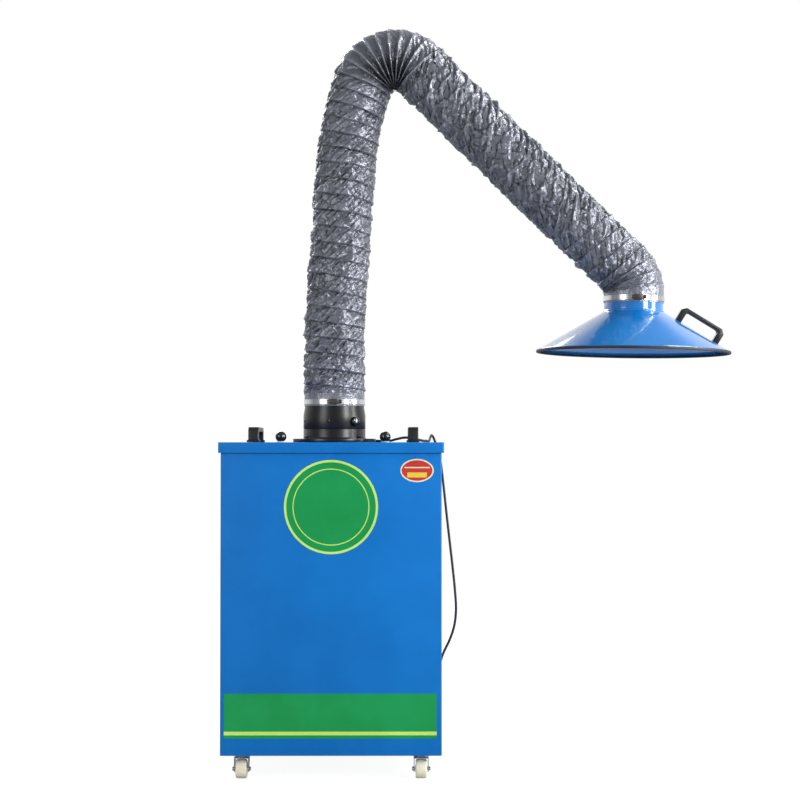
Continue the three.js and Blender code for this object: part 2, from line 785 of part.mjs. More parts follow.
// Control box on the rear panel, with its two buttons and the cord's gland
const control_inset = 82;
const control_x = body_half - control_inset;
const control_size = [62, 48, 86];
const control_rise = 151;
const control_low = body_floor + control_rise;
const control_y = panel_face + seat_gap;
const button_radius = 8;
const button_cap = 11;
const button_depth = 18;
const button_travel = 4;
const button_head = 7;
const button_edge_share = 0.7;
const button_face_share = 0.8;
const button_spacing = 34;
const gland_radius = 10;
const gland_length = 24;
const gland_nut_share = 0.4;
const gland_neck_shares = [0.85, 0.55];
const cord_diameter = 7;
const gland_bore = cord_diameter / 2 + seat_gap;
const gland_y = control_y + control_size[1] / 2;
const control_back = control_y + control_size[1];
const button_z = [-1, 1].map((side) => control_low + (control_size[2] + side * button_spacing) / 2);
const stemBore = (z) =>
  round_y(button_radius + running_gap, 2 * button_depth, control_x, control_back, z, small_sides);
add(cabinet, 'control_box', cut(
  pushed_z(
    rounded(control_size[0] / 2, control_size[1] / 2, gland_radius / 2),
    control_size[2],
    control_low,
  ).translate(control_x, gland_y, 0),
  ...button_z.map(stemBore),
), box_plastic);

// A button: a stem in the box and a cap that stops button_travel above the face
for (const [name, z, material] of [
  ['stop_button', button_z[0], red_plastic],
  ['start_button', button_z[1], green_plastic],
]) {
  const inner = -(button_depth - button_travel - seat_gap);
  const cap_low = button_travel + seat_gap;
  add(cabinet, name, turned([
    [0, inner],
    [button_radius, inner],
    [button_radius, cap_low],
    [button_cap, cap_low],
    [button_cap, cap_low + button_head * button_edge_share],
    [button_cap * button_face_share, cap_low + button_head],
    [0, cap_low + button_head],
  ], small_sides).rotateX(-Math.PI / 2).translate(control_x, control_back, z), material);
}
const gland_low = control_low - seat_gap - gland_length;
const gland_nut = control_low - gland_length * gland_nut_share;
add(cabinet, 'cord_gland', turned([
  [gland_bore, control_low - seat_gap],
  [gland_radius, control_low - seat_gap],
  [gland_radius, gland_nut],
  [gland_radius * gland_neck_shares[0], gland_nut],
  [gland_radius * gland_neck_shares[1], gland_low],
  [gland_bore, gland_low],
], small_sides).translate(control_x, gland_y, 0), black_plastic);

// Lid fittings: the arm's fixed flange with four bolt lugs, and the two push handles
const flange_radius = 111.5;
const flange_thickness = 9.5;
const collar_radius = 83.4;
const flange_height = 35;
const bearing_gap = running_gap;
const sleeve_wall = 2.5;
const flange_foot = lid_top + seat_gap;
const flange_top = flange_foot + flange_height - seat_gap;
const lug_radius = 10;
const lug_circle = 98;
const lug_height = 5;
const lugs = [0, 1, 2, 3].map((i) => {
  const angle = (i + 0.5) * Math.PI / 2;
  return round_z(
    lug_radius,
    lug_height + flange_thickness / 2,
    lug_circle * Math.cos(angle),
    lug_circle * Math.sin(angle),
    flange_foot + flange_thickness / 2,
    hex_sides,
  );
});
const flange_body = turned([
  [inlet_bore, flange_foot],
  [flange_radius, flange_foot],
  [flange_radius, flange_foot + flange_thickness],
  [collar_radius, flange_foot + flange_thickness],
  [collar_radius, flange_top],
  [inlet_bore, flange_top],
], wide_sides);
add(cabinet, 'mount_flange', joined(flange_body, ...lugs), black_paint);

const handle_inset = 71;
const handle_x = body_half - handle_inset;
const handle_length = 190;
const handle_height = 40;
const handle_width = 27;
const handle_leg = 24;
const handle_bar = 13;
const handle_corner = 9;
const handle_foot = 6;
const handle_foot_width = 34;
for (const [side, x] of [['left', -handle_x], ['right', handle_x]]) {
  const handle_bow = bow(handle_length, handle_height, handle_leg, handle_bar, handle_corner);
  const loop = new THREE.ExtrudeGeometry(handle_bow, { depth: handle_width, bevelEnabled: false })
    .translate(0, 0, -handle_width / 2).rotateX(Math.PI / 2).rotateZ(Math.PI / 2);
  const feet = [-1, 1].map((end) => box(
    handle_foot_width,
    handle_leg + handle_foot,
    handle_foot,
    0,
    end * (handle_length - handle_leg + handle_foot) / 2,
    handle_foot / 2,
  ));
  add(
    cabinet,
    `handle_${side}`,
    joined(loop, ...feet).translate(x, 0, lid_top + seat_gap),
    black_plastic,
  );
}

// Castors: each fork turns under its plate and trails its wheel
const wheel_radius = 25;
const wheel_half = 14;
const wheel_sides = 16;
const castor_trail = 18;
const axle_radius = 4;
const axle_head = 6.5;
const fork_half = 19;
const fork_wall = 2;
const fork_eye = 9;
const crown_shares = [-1.7, 0.7];
const tread_share = 0.8;
const swivel_radius = 20;
const axle_z = wheel_radius * Math.cos(Math.PI / wheel_sides);
const swivel_top = castor_height - castor_plate_thickness - seat_gap;
const crown_z = axle_z + wheel_radius + running_gap;

// A cheek of the fork, in YZ: wide at the crown and round at the axle
function cheekShape() {
  const eye_steps = 4;
  const [crown_back, crown_front] = crown_shares.map((share) => share * castor_trail);
  const shape = new THREE.Shape();
  shape.moveTo(crown_front, crown_z + fork_wall);
  shape.lineTo(crown_back, crown_z + fork_wall);
  shape.lineTo(-castor_trail - fork_eye, axle_z);
  shape.absarc(-castor_trail, axle_z, fork_eye, Math.PI, 2 * Math.PI);
  shape.lineTo(crown_front, crown_z);
  return new THREE.Shape(shape.getPoints(eye_steps).slice(0, -1));
}

function fork() {
  const cheeks = [-1, 1].map((side) =>
    outward(pushed_x(cheekShape(), fork_wall, side * (fork_half - fork_wall / 2))));
  const crown = block(
    [-fork_half, crown_shares[0] * castor_trail, crown_z],
    [fork_half, crown_shares[1] * castor_trail, crown_z + fork_wall],
  );
  const race = round_z(swivel_radius, swivel_top - crown_z, 0, 0, crown_z, small_sides);
  const axle = round_x(axle_radius, 2 * fork_half, 0, -castor_trail, axle_z, small_sides);
  const head_x = fork_half + fork_wall / 2 - seat_gap;
  const heads = [-1, 1].map((side) =>
    round_x(axle_head, fork_wall, side * head_x, -castor_trail, axle_z, hex_sides));
  return joined(crown, race, axle, ...cheeks, ...heads);
}

function wheel() {
  const hub = axle_head + fork_wall;
  const rim = wheel_radius - fork_wall * 2;
  const half = [
    [axle_radius + running_gap, wheel_half + fork_wall / 2],
    [hub, wheel_half + fork_wall / 2],
    [hub, wheel_half - fork_wall],
    [rim, wheel_half - fork_wall],
    [wheel_radius, (wheel_half - fork_wall) * tread_share],
  ];
  const other = half.map(([r, z]) => [r, -z]).reverse();
  return turned([...half, ...other], wheel_sides).rotateZ(Math.PI / wheel_sides)
    .rotateY(Math.PI / 2).translate(0, -castor_trail, axle_z);
}
for (const [corner, x, y] of castor_corners) {
  add(cabinet, `castor_fork_${corner}`, fork().translate(x, y, 0), galvanised);
  add(cabinet, `castor_wheel_${corner}`, wheel().translate(x, y, 0), cream_nylon);
}

// The hose's route in the arm's plane, from the collar to the hood: straight runs, and arcs that each
// turn it clockwise as seen from the front
const degree = Math.PI / 180;
const foot_run = 179;
const lean_radius = 1000;
const lower_run = 410;
const curl_radius = 800;
const elbow_radius = 92;
const upper_run = 768;
const wrist_radius = 100;
const end_run = 22;
const hose_route = [
  { run: foot_run },
  { radius: lean_radius, turn: 4 * degree },
  { run: lower_run },
  { radius: curl_radius, turn: 16 * degree },
  { radius: elbow_radius, turn: 114.4 * degree },
  { run: upper_run },
  { radius: wrist_radius, turn: 46.5 * degree },
  { run: end_run },
];
const elbow_step = 4;
const stepLength = (step) => step.run ?? step.radius * step.turn;
const lengthOf = (steps) => steps.reduce((sum, step) => sum + stepLength(step), 0);
const hose_length = lengthOf(hose_route);
const collar_height = 37;
const collar_taper = 20;
const hose_seat = 5;
const collar_taper_z = flange_top + collar_height;
const hose_foot = collar_taper_z + collar_taper + hose_seat;

// Where the hose's middle line is at a distance along it, and the way it leans from straight up
function hoseAt(distance) {
  let x = 0;
  let z = hose_foot;
  let lean = 0;
  let left = distance;
  for (const step of hose_route) {
    const length = stepLength(step);
    const part = Math.min(left, length);
    if (step.run) {
      x += part * Math.sin(lean);
      z += part * Math.cos(lean);
    } else {
      const next = lean + part / step.radius;
      x += step.radius * (Math.cos(lean) - Math.cos(next));
      z += step.radius * (Math.sin(next) - Math.sin(lean));
      lean = next;
    }
    left -= part;
    if (left <= 0) break;
  }
  return { x, z, lean };
}

// Hose: fabric over a steel wire, with a crest at each turn of the wire and a valley between
const hose_sides = 12;
const hose_ribs = 45;
const rib_pitch = hose_length / hose_ribs;
const wire_height = 4;
const fabric_height = 2.2;
const crest_radius = duct_radius + wire_height;
const valley_radius = duct_radius + fabric_height;
const hose_bore = duct_radius + seat_gap;
const clamp_width = 18;
const clamp_margin = 4;
const bore_sag = 0.4;
const bore_step = 5 * rib_pitch;
const plain_ends = clamp_width + clamp_margin;
const cornerRadius = (flat, sides) => flat / Math.cos(Math.PI / sides);

function hoseRing(distance, flat) {
  const { x, z, lean } = hoseAt(distance);
  const radius = cornerRadius(flat, hose_sides);
  return Array.from({ length: hose_sides }, (_, i) => {
    const angle = ((i + 0.5) / hose_sides) * 2 * Math.PI;
    const out = radius * Math.cos(angle);
    return new THREE.Vector3(
      x + out * Math.cos(lean),
      radius * Math.sin(angle),
      z - out * Math.sin(lean),
    );
  });
}

// One length of hose, from one wire turn to another: its outer rings, and back through its bore
function hosePiece(first_rib, last_rib) {
  const low = first_rib * rib_pitch + (first_rib > 0 ? seat_gap / 2 : 0);
  const high = last_rib * rib_pitch - (last_rib < hose_ribs ? seat_gap / 2 : 0);
  const stations = [];
  for (let i = 2 * first_rib; i <= 2 * last_rib; i += 1) {
    const distance = THREE.MathUtils.clamp(i * rib_pitch / 2, low, high);
    const covered = distance < plain_ends || distance > hose_length - plain_ends;
    stations.push([distance, i % 2 && !covered ? crest_radius : valley_radius]);
  }
  const kept = [stations[0][0]];
  stations.slice(1, -1).forEach(([distance], i) => {
    const since = stations[i + 2][0] - kept.at(-1);
    const turned_by = hoseAt(stations[i + 2][0]).lean - hoseAt(kept.at(-1)).lean;
    if (since * turned_by / 8 > bore_sag || since > bore_step) kept.push(distance);
  });
  kept.push(stations.at(-1)[0]);
  return loft([
    ...stations.map(([distance, radius]) => hoseRing(distance, radius)),
    ...kept.reverse().map((distance) => hoseRing(distance, hose_bore)),
  ]);
}
const hose_cuts = [0, 4, 17, 27, 41, hose_ribs];
['hose_base', 'hose_lower', 'hose_elbow', 'hose_upper', 'hose_hood'].forEach((name, i) => {
  add(arm, name, hosePiece(hose_cuts[i], hose_cuts[i + 1]), grey_fabric);
});

// Swivel collar: it turns on the flange, with a sleeve in its bore, and the hose slips over its spigot.
// A strap across the spigot carries the two ears of the shoulder joint
const collar_foot = flange_top + bearing_gap;
const sleeve_length = 20;
const sleeve_radius = inlet_bore - bearing_gap;
const spigot_wall = 2.5;
const spigot_length = 30;
const spigot_radius = duct_radius - seat_gap / 2;
const collar_body = turned([
  [sleeve_radius - sleeve_wall, collar_foot - sleeve_length],
  [sleeve_radius, collar_foot - sleeve_length],
  [sleeve_radius, collar_foot],
  [collar_radius, collar_foot],
  [collar_radius, collar_taper_z],
  [spigot_radius, collar_taper_z + collar_taper],
  [spigot_radius, hose_foot + spigot_length],
  [spigot_radius - spigot_wall, hose_foot + spigot_length],
  [spigot_radius - spigot_wall, collar_taper_z + collar_taper],
  [sleeve_radius - sleeve_wall, collar_taper_z],
], wide_sides);

// Arm links inside the hose: flat bars on bolts, the lower one between two ears at each joint
const bolt_radius = 5;
const bolt_hole = bolt_radius + running_gap;
const bolt_head = 9;
const bolt_head_height = 5;
const eye_radius = 14;
const link_width = 24;
const link_thickness = 12;
const ear_thickness = 4;
const ear_gap = running_gap;
const ear_y = link_thickness / 2 + ear_gap + ear_thickness / 2;
const strap_thickness = 5;
const strap_reach = spigot_radius - spigot_wall / 2;
const shoulder_rise = 93;
const shoulder = new THREE.Vector3(0, 0, hose_foot + shoulder_rise);
const elbow_share = 0.422;
const elbow_offset = 3;
const bend_start = lengthOf(hose_route.slice(0, elbow_step));
const bend = hoseAt(bend_start + elbow_share * stepLength(hose_route[elbow_step]));
const elbow = new THREE.Vector3(
  bend.x - elbow_offset * Math.cos(bend.lean),
  0,
  bend.z + elbow_offset * Math.sin(bend.lean),
);
const hood_rise = 54;
const hose_end = hoseAt(hose_length);
const hood_lean = hose_end.lean - Math.PI;
const wrist = new THREE.Vector3(
  hose_end.x + hood_rise * Math.sin(hood_lean),
  0,
  hose_end.z + hood_rise * Math.cos(hood_lean),
);

// A flat bar from one bolt to another, with a round eye at each
function bar(from, to, thickness, y) {
  const span = to.clone().sub(from);
  const lean = Math.atan2(span.x, span.z);
  const middle = from.clone().add(to).multiplyScalar(0.5);
  const web = box(link_width, thickness, span.length(), 0, 0, 0)
    .rotateY(lean).translate(middle.x, y, middle.z);
  const ring = (radius, width) => [from, to].map((end) =>
    round_y(radius, width, end.x, y, end.z, small_sides));
  const eyes = ring(eye_radius, thickness);
  const holes = ring(bolt_hole, 2 * thickness);
  return cut(joined(web, ...eyes), ...holes);
}

function bolt(at) {
  const reach = ear_y + ear_thickness / 2 + seat_gap;
  const head_y = reach + bolt_head_height / 2;
  const shank = round_y(bolt_radius, 2 * head_y, at.x, 0, at.z, small_sides);
  const heads = [-1, 1].map((side) =>
    round_y(bolt_head, bolt_head_height, at.x, side * head_y, at.z, hex_sides));
  return joined(shank, ...heads);
}

const strap_rise = 8;
const strap_z = hose_foot + strap_rise;
const ears = [-1, 1].map((side) => {
  const web = block(
    [-link_width / 2, side * ear_y - ear_thickness / 2, strap_z],
    [link_width / 2, side * ear_y + ear_thickness / 2, shoulder.z],
  );
  const eye = round_y(eye_radius, ear_thickness, shoulder.x, side * ear_y, shoulder.z, small_sides);
  return joined(web, eye);
});
const collar_strap = block(
  [-link_width / 2, -strap_reach, strap_z],
  [link_width / 2, strap_reach, strap_z + strap_thickness],
);
add(arm, 'swivel_collar', cut(
  joined(collar_body, collar_strap, ...ears),
  round_y(bolt_hole, 4 * ear_y, shoulder.x, 0, shoulder.z, small_sides),
), black_paint);
add(arm, 'shoulder_bolt', bolt(shoulder), bright_steel);
add(arm, 'lower_link', bar(shoulder, elbow, link_thickness, 0), galvanised);
add(arm, 'elbow_bolt', bolt(elbow), bright_steel);

const spacer_shares = [0.3, 0.7];
const spacers = spacer_shares.map((share) => {
  const at = elbow.clone().lerp(wrist, share);
  return round_y(link_width / 4, 2 * ear_y, at.x, 0, at.z, small_sides);
});
add(arm, 'upper_link', joined(
  bar(elbow, wrist, ear_thickness, -ear_y),
  bar(elbow, wrist, ear_thickness, ear_y),
  ...spacers,
), galvanised);
add(arm, 'wrist_bolt', bolt(wrist), bright_steel);

// Hood: a spun steel cone under a short neck, level with the end of the hose
const hood = new THREE.Group();
hood.position.set(hose_end.x, 0, hose_end.z);
hood.rotation.y = hood_lean;
arm.add(hood);

const hood_sides = 28;
const neck_length = 25;
const neck_bead = 2.5;
const neck_spigot = 20;
const neck_step = 4.5;
const cone_top_radius = duct_radius + neck_step;
const rim_radius = 257;
const cone_height = 102;
const rim_lip = 5;
const rim_z = -neck_length - cone_height;
const hood_cone = turned([
  [spigot_radius - sheet, neck_spigot],
  [spigot_radius, neck_spigot],
  [spigot_radius, neck_bead * 2 - neck_length],
  [spigot_radius + neck_bead, neck_bead - neck_length],
  [cone_top_radius, -neck_length],
  [rim_radius, rim_z],
  [rim_radius, rim_z - rim_lip],
  [rim_radius - sheet, rim_z - rim_lip],
  [rim_radius - sheet, rim_z - sheet / 2],
  [cone_top_radius - sheet, -neck_length - sheet],
  [spigot_radius - sheet, neck_bead * 2 - neck_length],
], hood_sides);

const trim_reach = 3;
const trim_height = 10;
const trim_foot = rim_z - rim_lip - seat_gap - trim_reach;
add(hood, 'hood_trim', turned([
  [rim_radius - sheet - seat_gap - trim_reach, trim_foot],
  [rim_radius + seat_gap + trim_reach, trim_foot],
  [rim_radius + seat_gap + trim_reach, trim_foot + trim_height - trim_reach],
  [rim_radius + seat_gap, trim_foot + trim_height - trim_reach],
  [rim_radius + seat_gap, rim_z - rim_lip - seat_gap],
  [rim_radius - sheet - seat_gap, rim_z - rim_lip - seat_gap],
  [rim_radius - sheet - seat_gap, trim_foot + trim_height - trim_reach - sheet],
  [rim_radius - sheet - seat_gap - trim_reach, trim_foot + trim_height - trim_reach - sheet],
], hood_sides), black_rubber);

// The tongue that the upper link grips stands on a strap across the neck
const tongue_strap_z = 6;
const neck_reach = spigot_radius - sheet / 2;
add(hood, 'hood_shell', cut(
  joined(
    hood_cone,
    block(
      [-link_width / 2, -neck_reach, tongue_strap_z],
      [link_width / 2, neck_reach, tongue_strap_z + strap_thickness],
    ),
    block(
      [-link_width / 2, -link_thickness / 2, tongue_strap_z],
      [link_width / 2, link_thickness / 2, hood_rise],
    ),
    round_y(eye_radius, link_thickness, 0, 0, hood_rise, small_sides),
  ),
  round_y(bolt_hole, 2 * link_thickness, 0, 0, hood_rise, small_sides),
), hood_paint);

// The hood's handle: a broad bow that stands square on the cone's right slope
const grip_length = 132;
const grip_height = 42;
const grip_leg = 17;
const grip_bar = 10;
const grip_corner = 11;
const grip_width = 24;
const grip_middle_share = 0.49;
const slope = Math.atan2(cone_height, rim_radius - cone_top_radius);
const grip_x = cone_top_radius + (rim_radius - cone_top_radius) * grip_middle_share;
const grip_z = -neck_length - cone_height * grip_middle_share;
const grip_bow = bow(grip_length, grip_height, grip_leg, grip_bar, grip_corner);
const grip = new THREE.ExtrudeGeometry(grip_bow, { depth: grip_width, bevelEnabled: false })
  .translate(0, seat_gap, -grip_width / 2).rotateX(Math.PI / 2).rotateY(slope)
  .translate(grip_x, 0, grip_z);
add(hood, 'hood_handle', grip, black_plastic);

// Hose clamps: a steel band with the housing of its worm screw
const band_sides = 24;
const band_inner = cornerRadius(valley_radius, hose_sides) + seat_gap;
const band_thickness = 1.2;
const housing_size = [30, 10, 13];
const screw_radius = 4;
const screw_shares = [1.4, 0.2];
function clampRing(low_z) {
  const inner = band_inner;
  const outer = inner + band_thickness;
  const [screw_length, screw_x] = screw_shares.map((share) => share * housing_size[0]);
  const middle_z = low_z + clamp_width / 2;
  const housing_y = -outer - housing_size[1] / 2 + band_thickness / 2;
  return joined(
    turned([
      [inner, low_z],
      [outer, low_z],
      [outer, low_z + clamp_width],
      [inner, low_z + clamp_width],
    ], band_sides),
    box(...housing_size, 0, housing_y, middle_z),
    round_x(screw_radius, screw_length, screw_x, housing_y, middle_z, small_sides),
  );
}
const clamp_lift = 2;
add(arm, 'clamp_base', clampRing(hose_foot + clamp_lift), bright_steel);
add(hood, 'clamp_hood', clampRing(clamp_lift), bright_steel);

// Supply cord, by its real route: down from the gland, out past the rear right corner, up behind the
// cabinet, over the lid's rear edge, through the right handle and behind the flange to its coil
const coil_x = -40;
const coil_y = 170;
const coil_turns = 3;
const coil_gap = 0.6;
const coil_pitch = cord_diameter + coil_gap;
const coil_outer = 48;
const coil_steps = 24;
const coil_sides = 6;
const lid_cord_z = lid_top + seat_gap + cord_diameter / 2;
const cord_route = [
  [control_x, gland_y, gland_low - seat_gap],
  [200, 276, 165],
  [201, 277, 140],
  [212, 278, 120],
  [233, 278, 112],
  [257, 277, 126],
  [276, 276, 168],
  [287, 275, 220],
  [300, 274, 262],
  [318, 273, 300],
  [331, 272, 340],
  [336, 271, 386],
  [333, 270, 440],
  [326, 270, 510],
  [318, 270, 580],
  [309, 270, 660],
  [301, 270, 735],
  [293, 271, 800],
  [285, 274, 840],
  [277, 277, 862],
  [271, 271, 876],
  [266, 255, 880],
  [262, 235, 873],
  [259, 205, 865],
  [255, 160, 864],
  [248, 110, 864],
  [236, 66, 865],
  [214, 38, 870],
  [190, 30, 873],
  [168, 40, 869],
  [150, 66, 864.5],
  [132, 96, lid_cord_z],
  [104, 115, lid_cord_z],
  [68, 121.5, lid_cord_z],
  [20, coil_y - coil_outer, lid_cord_z],
  [coil_x + 3 * cord_diameter, coil_y - coil_outer, lid_cord_z],
  [coil_x + cord_diameter + seat_gap, coil_y - coil_outer, lid_cord_z],
].map((point) => new THREE.Vector3(...point));
const cord_curve = new THREE.CatmullRomCurve3(cord_route, false, 'centripetal');
const cord_sides = 8;
const cord_steps = 70;
const section = new THREE.Shape();
section.absarc(0, 0, cord_diameter / 2, 0, 2 * Math.PI);
const cord_section = new THREE.Shape(section.getSpacedPoints(cord_sides).slice(0, -1));
add(cord, 'cord_free', outward(new THREE.ExtrudeGeometry(cord_section, {
  steps: cord_steps,
  extrudePath: cord_curve,
  bevelEnabled: false,
})), black_rubber);

// The coil: the cord winds in along the lid, climbs one layer in the half turn where it reverses,
// winds out again on top, and leaves straight for its plug
const climb_turns = 0.5;
const coil_end = 2 * coil_turns + climb_turns;
function coilPoint(t) {
  const inner = coil_outer - coil_turns * coil_pitch;
  let radius = coil_outer - coil_pitch * t;
  let level = 0;
  if (t > coil_turns + climb_turns) {
    radius = inner + coil_pitch * (t - coil_turns - climb_turns);
    level = 1;
  } else if (t > coil_turns) {
    const part = t - coil_turns;
    radius = inner - coil_pitch * part + 2 * coil_pitch * part * part;
    level = 2 * part;
  }
  const angle = -Math.PI / 2 - 2 * Math.PI * t;
  return new THREE.Vector3(
    coil_x + radius * Math.cos(angle),
    coil_y + radius * Math.sin(angle),
    lid_cord_z + level * coil_pitch,
  );
}

function tube(points, radius, sides) {
  const up = new THREE.Vector3(0, 0, 1);
  const rings = points.map((point, i) => {
    const before = points[Math.max(i - 1, 0)];
    const after = points[Math.min(i + 1, points.length - 1)];
    const along = after.clone().sub(before).normalize();
    const side = along.clone().cross(up).normalize();
    const rise = side.clone().cross(along);
    return Array.from({ length: sides }, (_, k) => {
      const angle = (k / sides) * 2 * Math.PI;
      return point.clone()
        .addScaledVector(side, radius * Math.cos(angle))
        .addScaledVector(rise, radius * Math.sin(angle));
    });
  });
  return rod(rings);
}

const coil_start = new THREE.Vector3(coil_x + cord_diameter, coil_y - coil_outer, lid_cord_z);
const coil_points = [coil_start];
for (let i = 0; i <= coil_end * coil_steps; i += 1) coil_points.push(coilPoint(i / coil_steps));
const plug_run = 48;
const plug_steps = 3;
for (let i = 1; i <= plug_steps; i += 1) {
  coil_points.push(new THREE.Vector3(
    coil_x + plug_run * (i / plug_steps),
    coil_y + coil_outer,
    lid_cord_z + coil_pitch,
  ));
}
add(cord, 'cord_coil', tube(coil_points, cord_diameter / 2, coil_sides), black_rubber);

// Plug: a moulded body with a tapered tail and two round pins
const plug_radius = 14;
const plug_length = 34;
const plug_tail = 12;
const plug_tail_wall = 1;
const plug_tail_share = 0.55;
const pin_length = 18;
const pin_spacing = 19;
const plug_pin_radius = 2.4;
const plug_z = lid_cord_z + coil_pitch;
const plug_low = plug_z - (lid_top + seat_gap);
const plug_body = turned([
  [0, 0],
  [cord_diameter / 2 + plug_tail_wall, 0],
  [plug_radius * plug_tail_share, plug_tail],
  [plug_radius, plug_tail],
  [plug_radius, plug_tail + plug_length],
  [0, plug_tail + plug_length],
], small_sides);
const pins = [-1, 1].map((side) => round_z(
  plug_pin_radius,
  pin_length + plug_length / 2,
  0,
  side * pin_spacing / 2,
  plug_tail + plug_length / 2,
  small_sides,
));
const lid_plane = block(
  [-plug_radius - overrun, -2 * plug_radius, 0],
  [plug_radius + overrun, 2 * plug_radius, 2 * (plug_length + plug_tail)],
).translate(plug_low + plug_radius + overrun, 0, -overrun);
add(cord, 'cord_plug', cut(joined(plug_body, ...pins), lid_plane).rotateY(Math.PI / 2)
  .translate(coil_x + plug_run + seat_gap, coil_y + coil_outer, plug_z), black_rubber);

// The coil's least gap to itself: between points that are over half a turn apart along it
let least = Infinity;
coil_points.forEach((point, i) => coil_points.slice(i + coil_steps / 2).forEach((other) => {
  least = Math.min(least, point.distanceTo(other) - cord_diameter);
}));
console.log(`coil: least gap to itself ${least.toFixed(2)} mm`);

// The whole object, with its origin on the floor, under the middle of all but the cord
const extractor = new THREE.Group();
const stand = new THREE.Group();
stand.add(cabinet, arm);
const extent = new THREE.Box3().setFromObject(stand, true);
const middle = extent.getCenter(new THREE.Vector3());
stand.add(cord);
stand.position.set(-middle.x, -middle.y, -extent.min.z);
extractor.add(stand);
export default extractor;
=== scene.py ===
import math

import bpy
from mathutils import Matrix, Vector, noise


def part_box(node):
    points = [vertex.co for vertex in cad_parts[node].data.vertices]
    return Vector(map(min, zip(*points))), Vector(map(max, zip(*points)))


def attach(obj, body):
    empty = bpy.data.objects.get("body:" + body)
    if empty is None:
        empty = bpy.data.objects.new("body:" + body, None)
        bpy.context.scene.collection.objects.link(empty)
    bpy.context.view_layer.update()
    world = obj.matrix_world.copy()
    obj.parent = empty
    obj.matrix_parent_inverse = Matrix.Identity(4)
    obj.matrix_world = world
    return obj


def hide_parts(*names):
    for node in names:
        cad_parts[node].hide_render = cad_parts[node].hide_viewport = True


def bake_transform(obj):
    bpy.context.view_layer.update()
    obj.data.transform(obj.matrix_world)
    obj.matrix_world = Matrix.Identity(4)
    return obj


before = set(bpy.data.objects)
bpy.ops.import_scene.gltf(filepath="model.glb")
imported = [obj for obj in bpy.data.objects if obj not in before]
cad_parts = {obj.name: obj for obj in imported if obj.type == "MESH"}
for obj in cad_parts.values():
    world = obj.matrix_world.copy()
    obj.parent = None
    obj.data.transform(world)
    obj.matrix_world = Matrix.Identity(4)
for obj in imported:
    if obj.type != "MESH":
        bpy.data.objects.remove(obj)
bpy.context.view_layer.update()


def object_of(name, data):
    """A new object in the scene with this data"""
    made = bpy.data.objects.new(name, data)
    bpy.context.scene.collection.objects.link(made)
    return made


# Camera: it stands 4.8 m in front of the arm at the height of the lid, a little right of the arm's foot,
# and looks very slightly up.
camera = object_of("camera", bpy.data.cameras.new("camera"))
camera.data.lens = 79.4
camera.location = (-0.2254, -4.7755, 0.857)
camera.rotation_euler = (math.radians(91.41), 0, math.radians(-0.16))
bpy.context.scene.camera = camera
bpy.context.scene.view_settings.view_transform = "Standard"

# Supply cord: black rubber flex, 7 mm thick and 2.94 m long, from the gland on the rear panel over the
# lid's rear edge and through the right handle to its coil behind the arm's flange.
mm = 0.001
wrap_low, wrap_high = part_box("body_wrap")
middle = (wrap_low + wrap_high) / 2


def place(x, y, z):
    """A point of the cabinet's own plan, in millimetres from its middle and the floor, in the frame"""
    return Vector((middle.x + x * mm, middle.y + y * mm, z * mm))


cord_size = 7
cord_route = [
    (200, 276.1, 190.4), (200, 276, 165), (201, 277, 140), (212, 278, 120), (233, 278, 112),
    (257, 277, 126), (276, 276, 168), (287, 275, 220), (300, 274, 262), (318, 273, 300),
    (331, 272, 340), (336, 271, 386), (333, 270, 440), (326, 270, 510), (318, 270, 580),
    (309, 270, 660), (301, 270, 735), (293, 271, 800), (285, 274, 840), (277, 277, 862),
    (271, 271, 876), (266, 255, 880), (262, 235, 873), (259, 205, 865), (255, 160, 864),
    (248, 110, 864), (236, 66, 865), (214, 38, 870), (190, 30, 873), (168, 40, 869),
    (150, 66, 864.5), (132, 96, 863.8), (104, 115, 863.8), (68, 121.5, 863.8), (20, 122, 863.8),
    (-19, 122, 863.8), (-33, 122, 863.8),
]


def smooth_route(points, step):
    """Points a step apart on a curve through the ones given, whose ease follows their spacing"""
    points = [Vector(point) for point in points]
    points = [2 * points[0] - points[1], *points, 2 * points[-1] - points[-2]]
    line = []
    for a, b, c, d in zip(points, points[1:], points[2:], points[3:]):
        knots = [0]
        for first, second in ((a, b), (b, c), (c, d)):
            knots.append(knots[-1] + max((second - first).length, 1e-6) ** 0.5)
        count = max(2, round((c - b).length / step))
        for i in range(count):
            t = knots[1] + (knots[2] - knots[1]) * i / count

            def between(p, q, start, end):
                return p * ((knots[end] - t) / (knots[end] - knots[start])) + q * (
                    (t - knots[start]) / (knots[end] - knots[start]))

            ab, bc, cd = between(a, b, 0, 1), between(b, c, 1, 2), between(c, d, 2, 3)
            line.append(between(between(ab, bc, 0, 2), between(bc, cd, 1, 3), 1, 2))
    return [*line, points[-2]]


coil_middle = (-40, 170, 863.8)
coil_outer = 48
coil_pitch = 7.6
coil_turns = 3
climb = 0.5


def coil_point(turn):
    """A point of the coil: inwards on the lower layer, up in the climb, outwards on the upper layer"""
    inner = coil_outer - coil_turns * coil_pitch
    radius, level = coil_outer - coil_pitch * turn, 0
    if turn > coil_turns + climb:
        radius, level = inner + coil_pitch * (turn - coil_turns - climb), 1
    elif turn > coil_turns:
        part = turn - coil_turns
        radius, level = inner - coil_pitch * part + 2 * coil_pitch * part ** 2, 2 * part
    angle = -math.pi / 2 - 2 * math.pi * turn
    x, y, z = coil_middle
    return x + radius * math.cos(angle), y + radius * math.sin(angle), z + coil_pitch * level


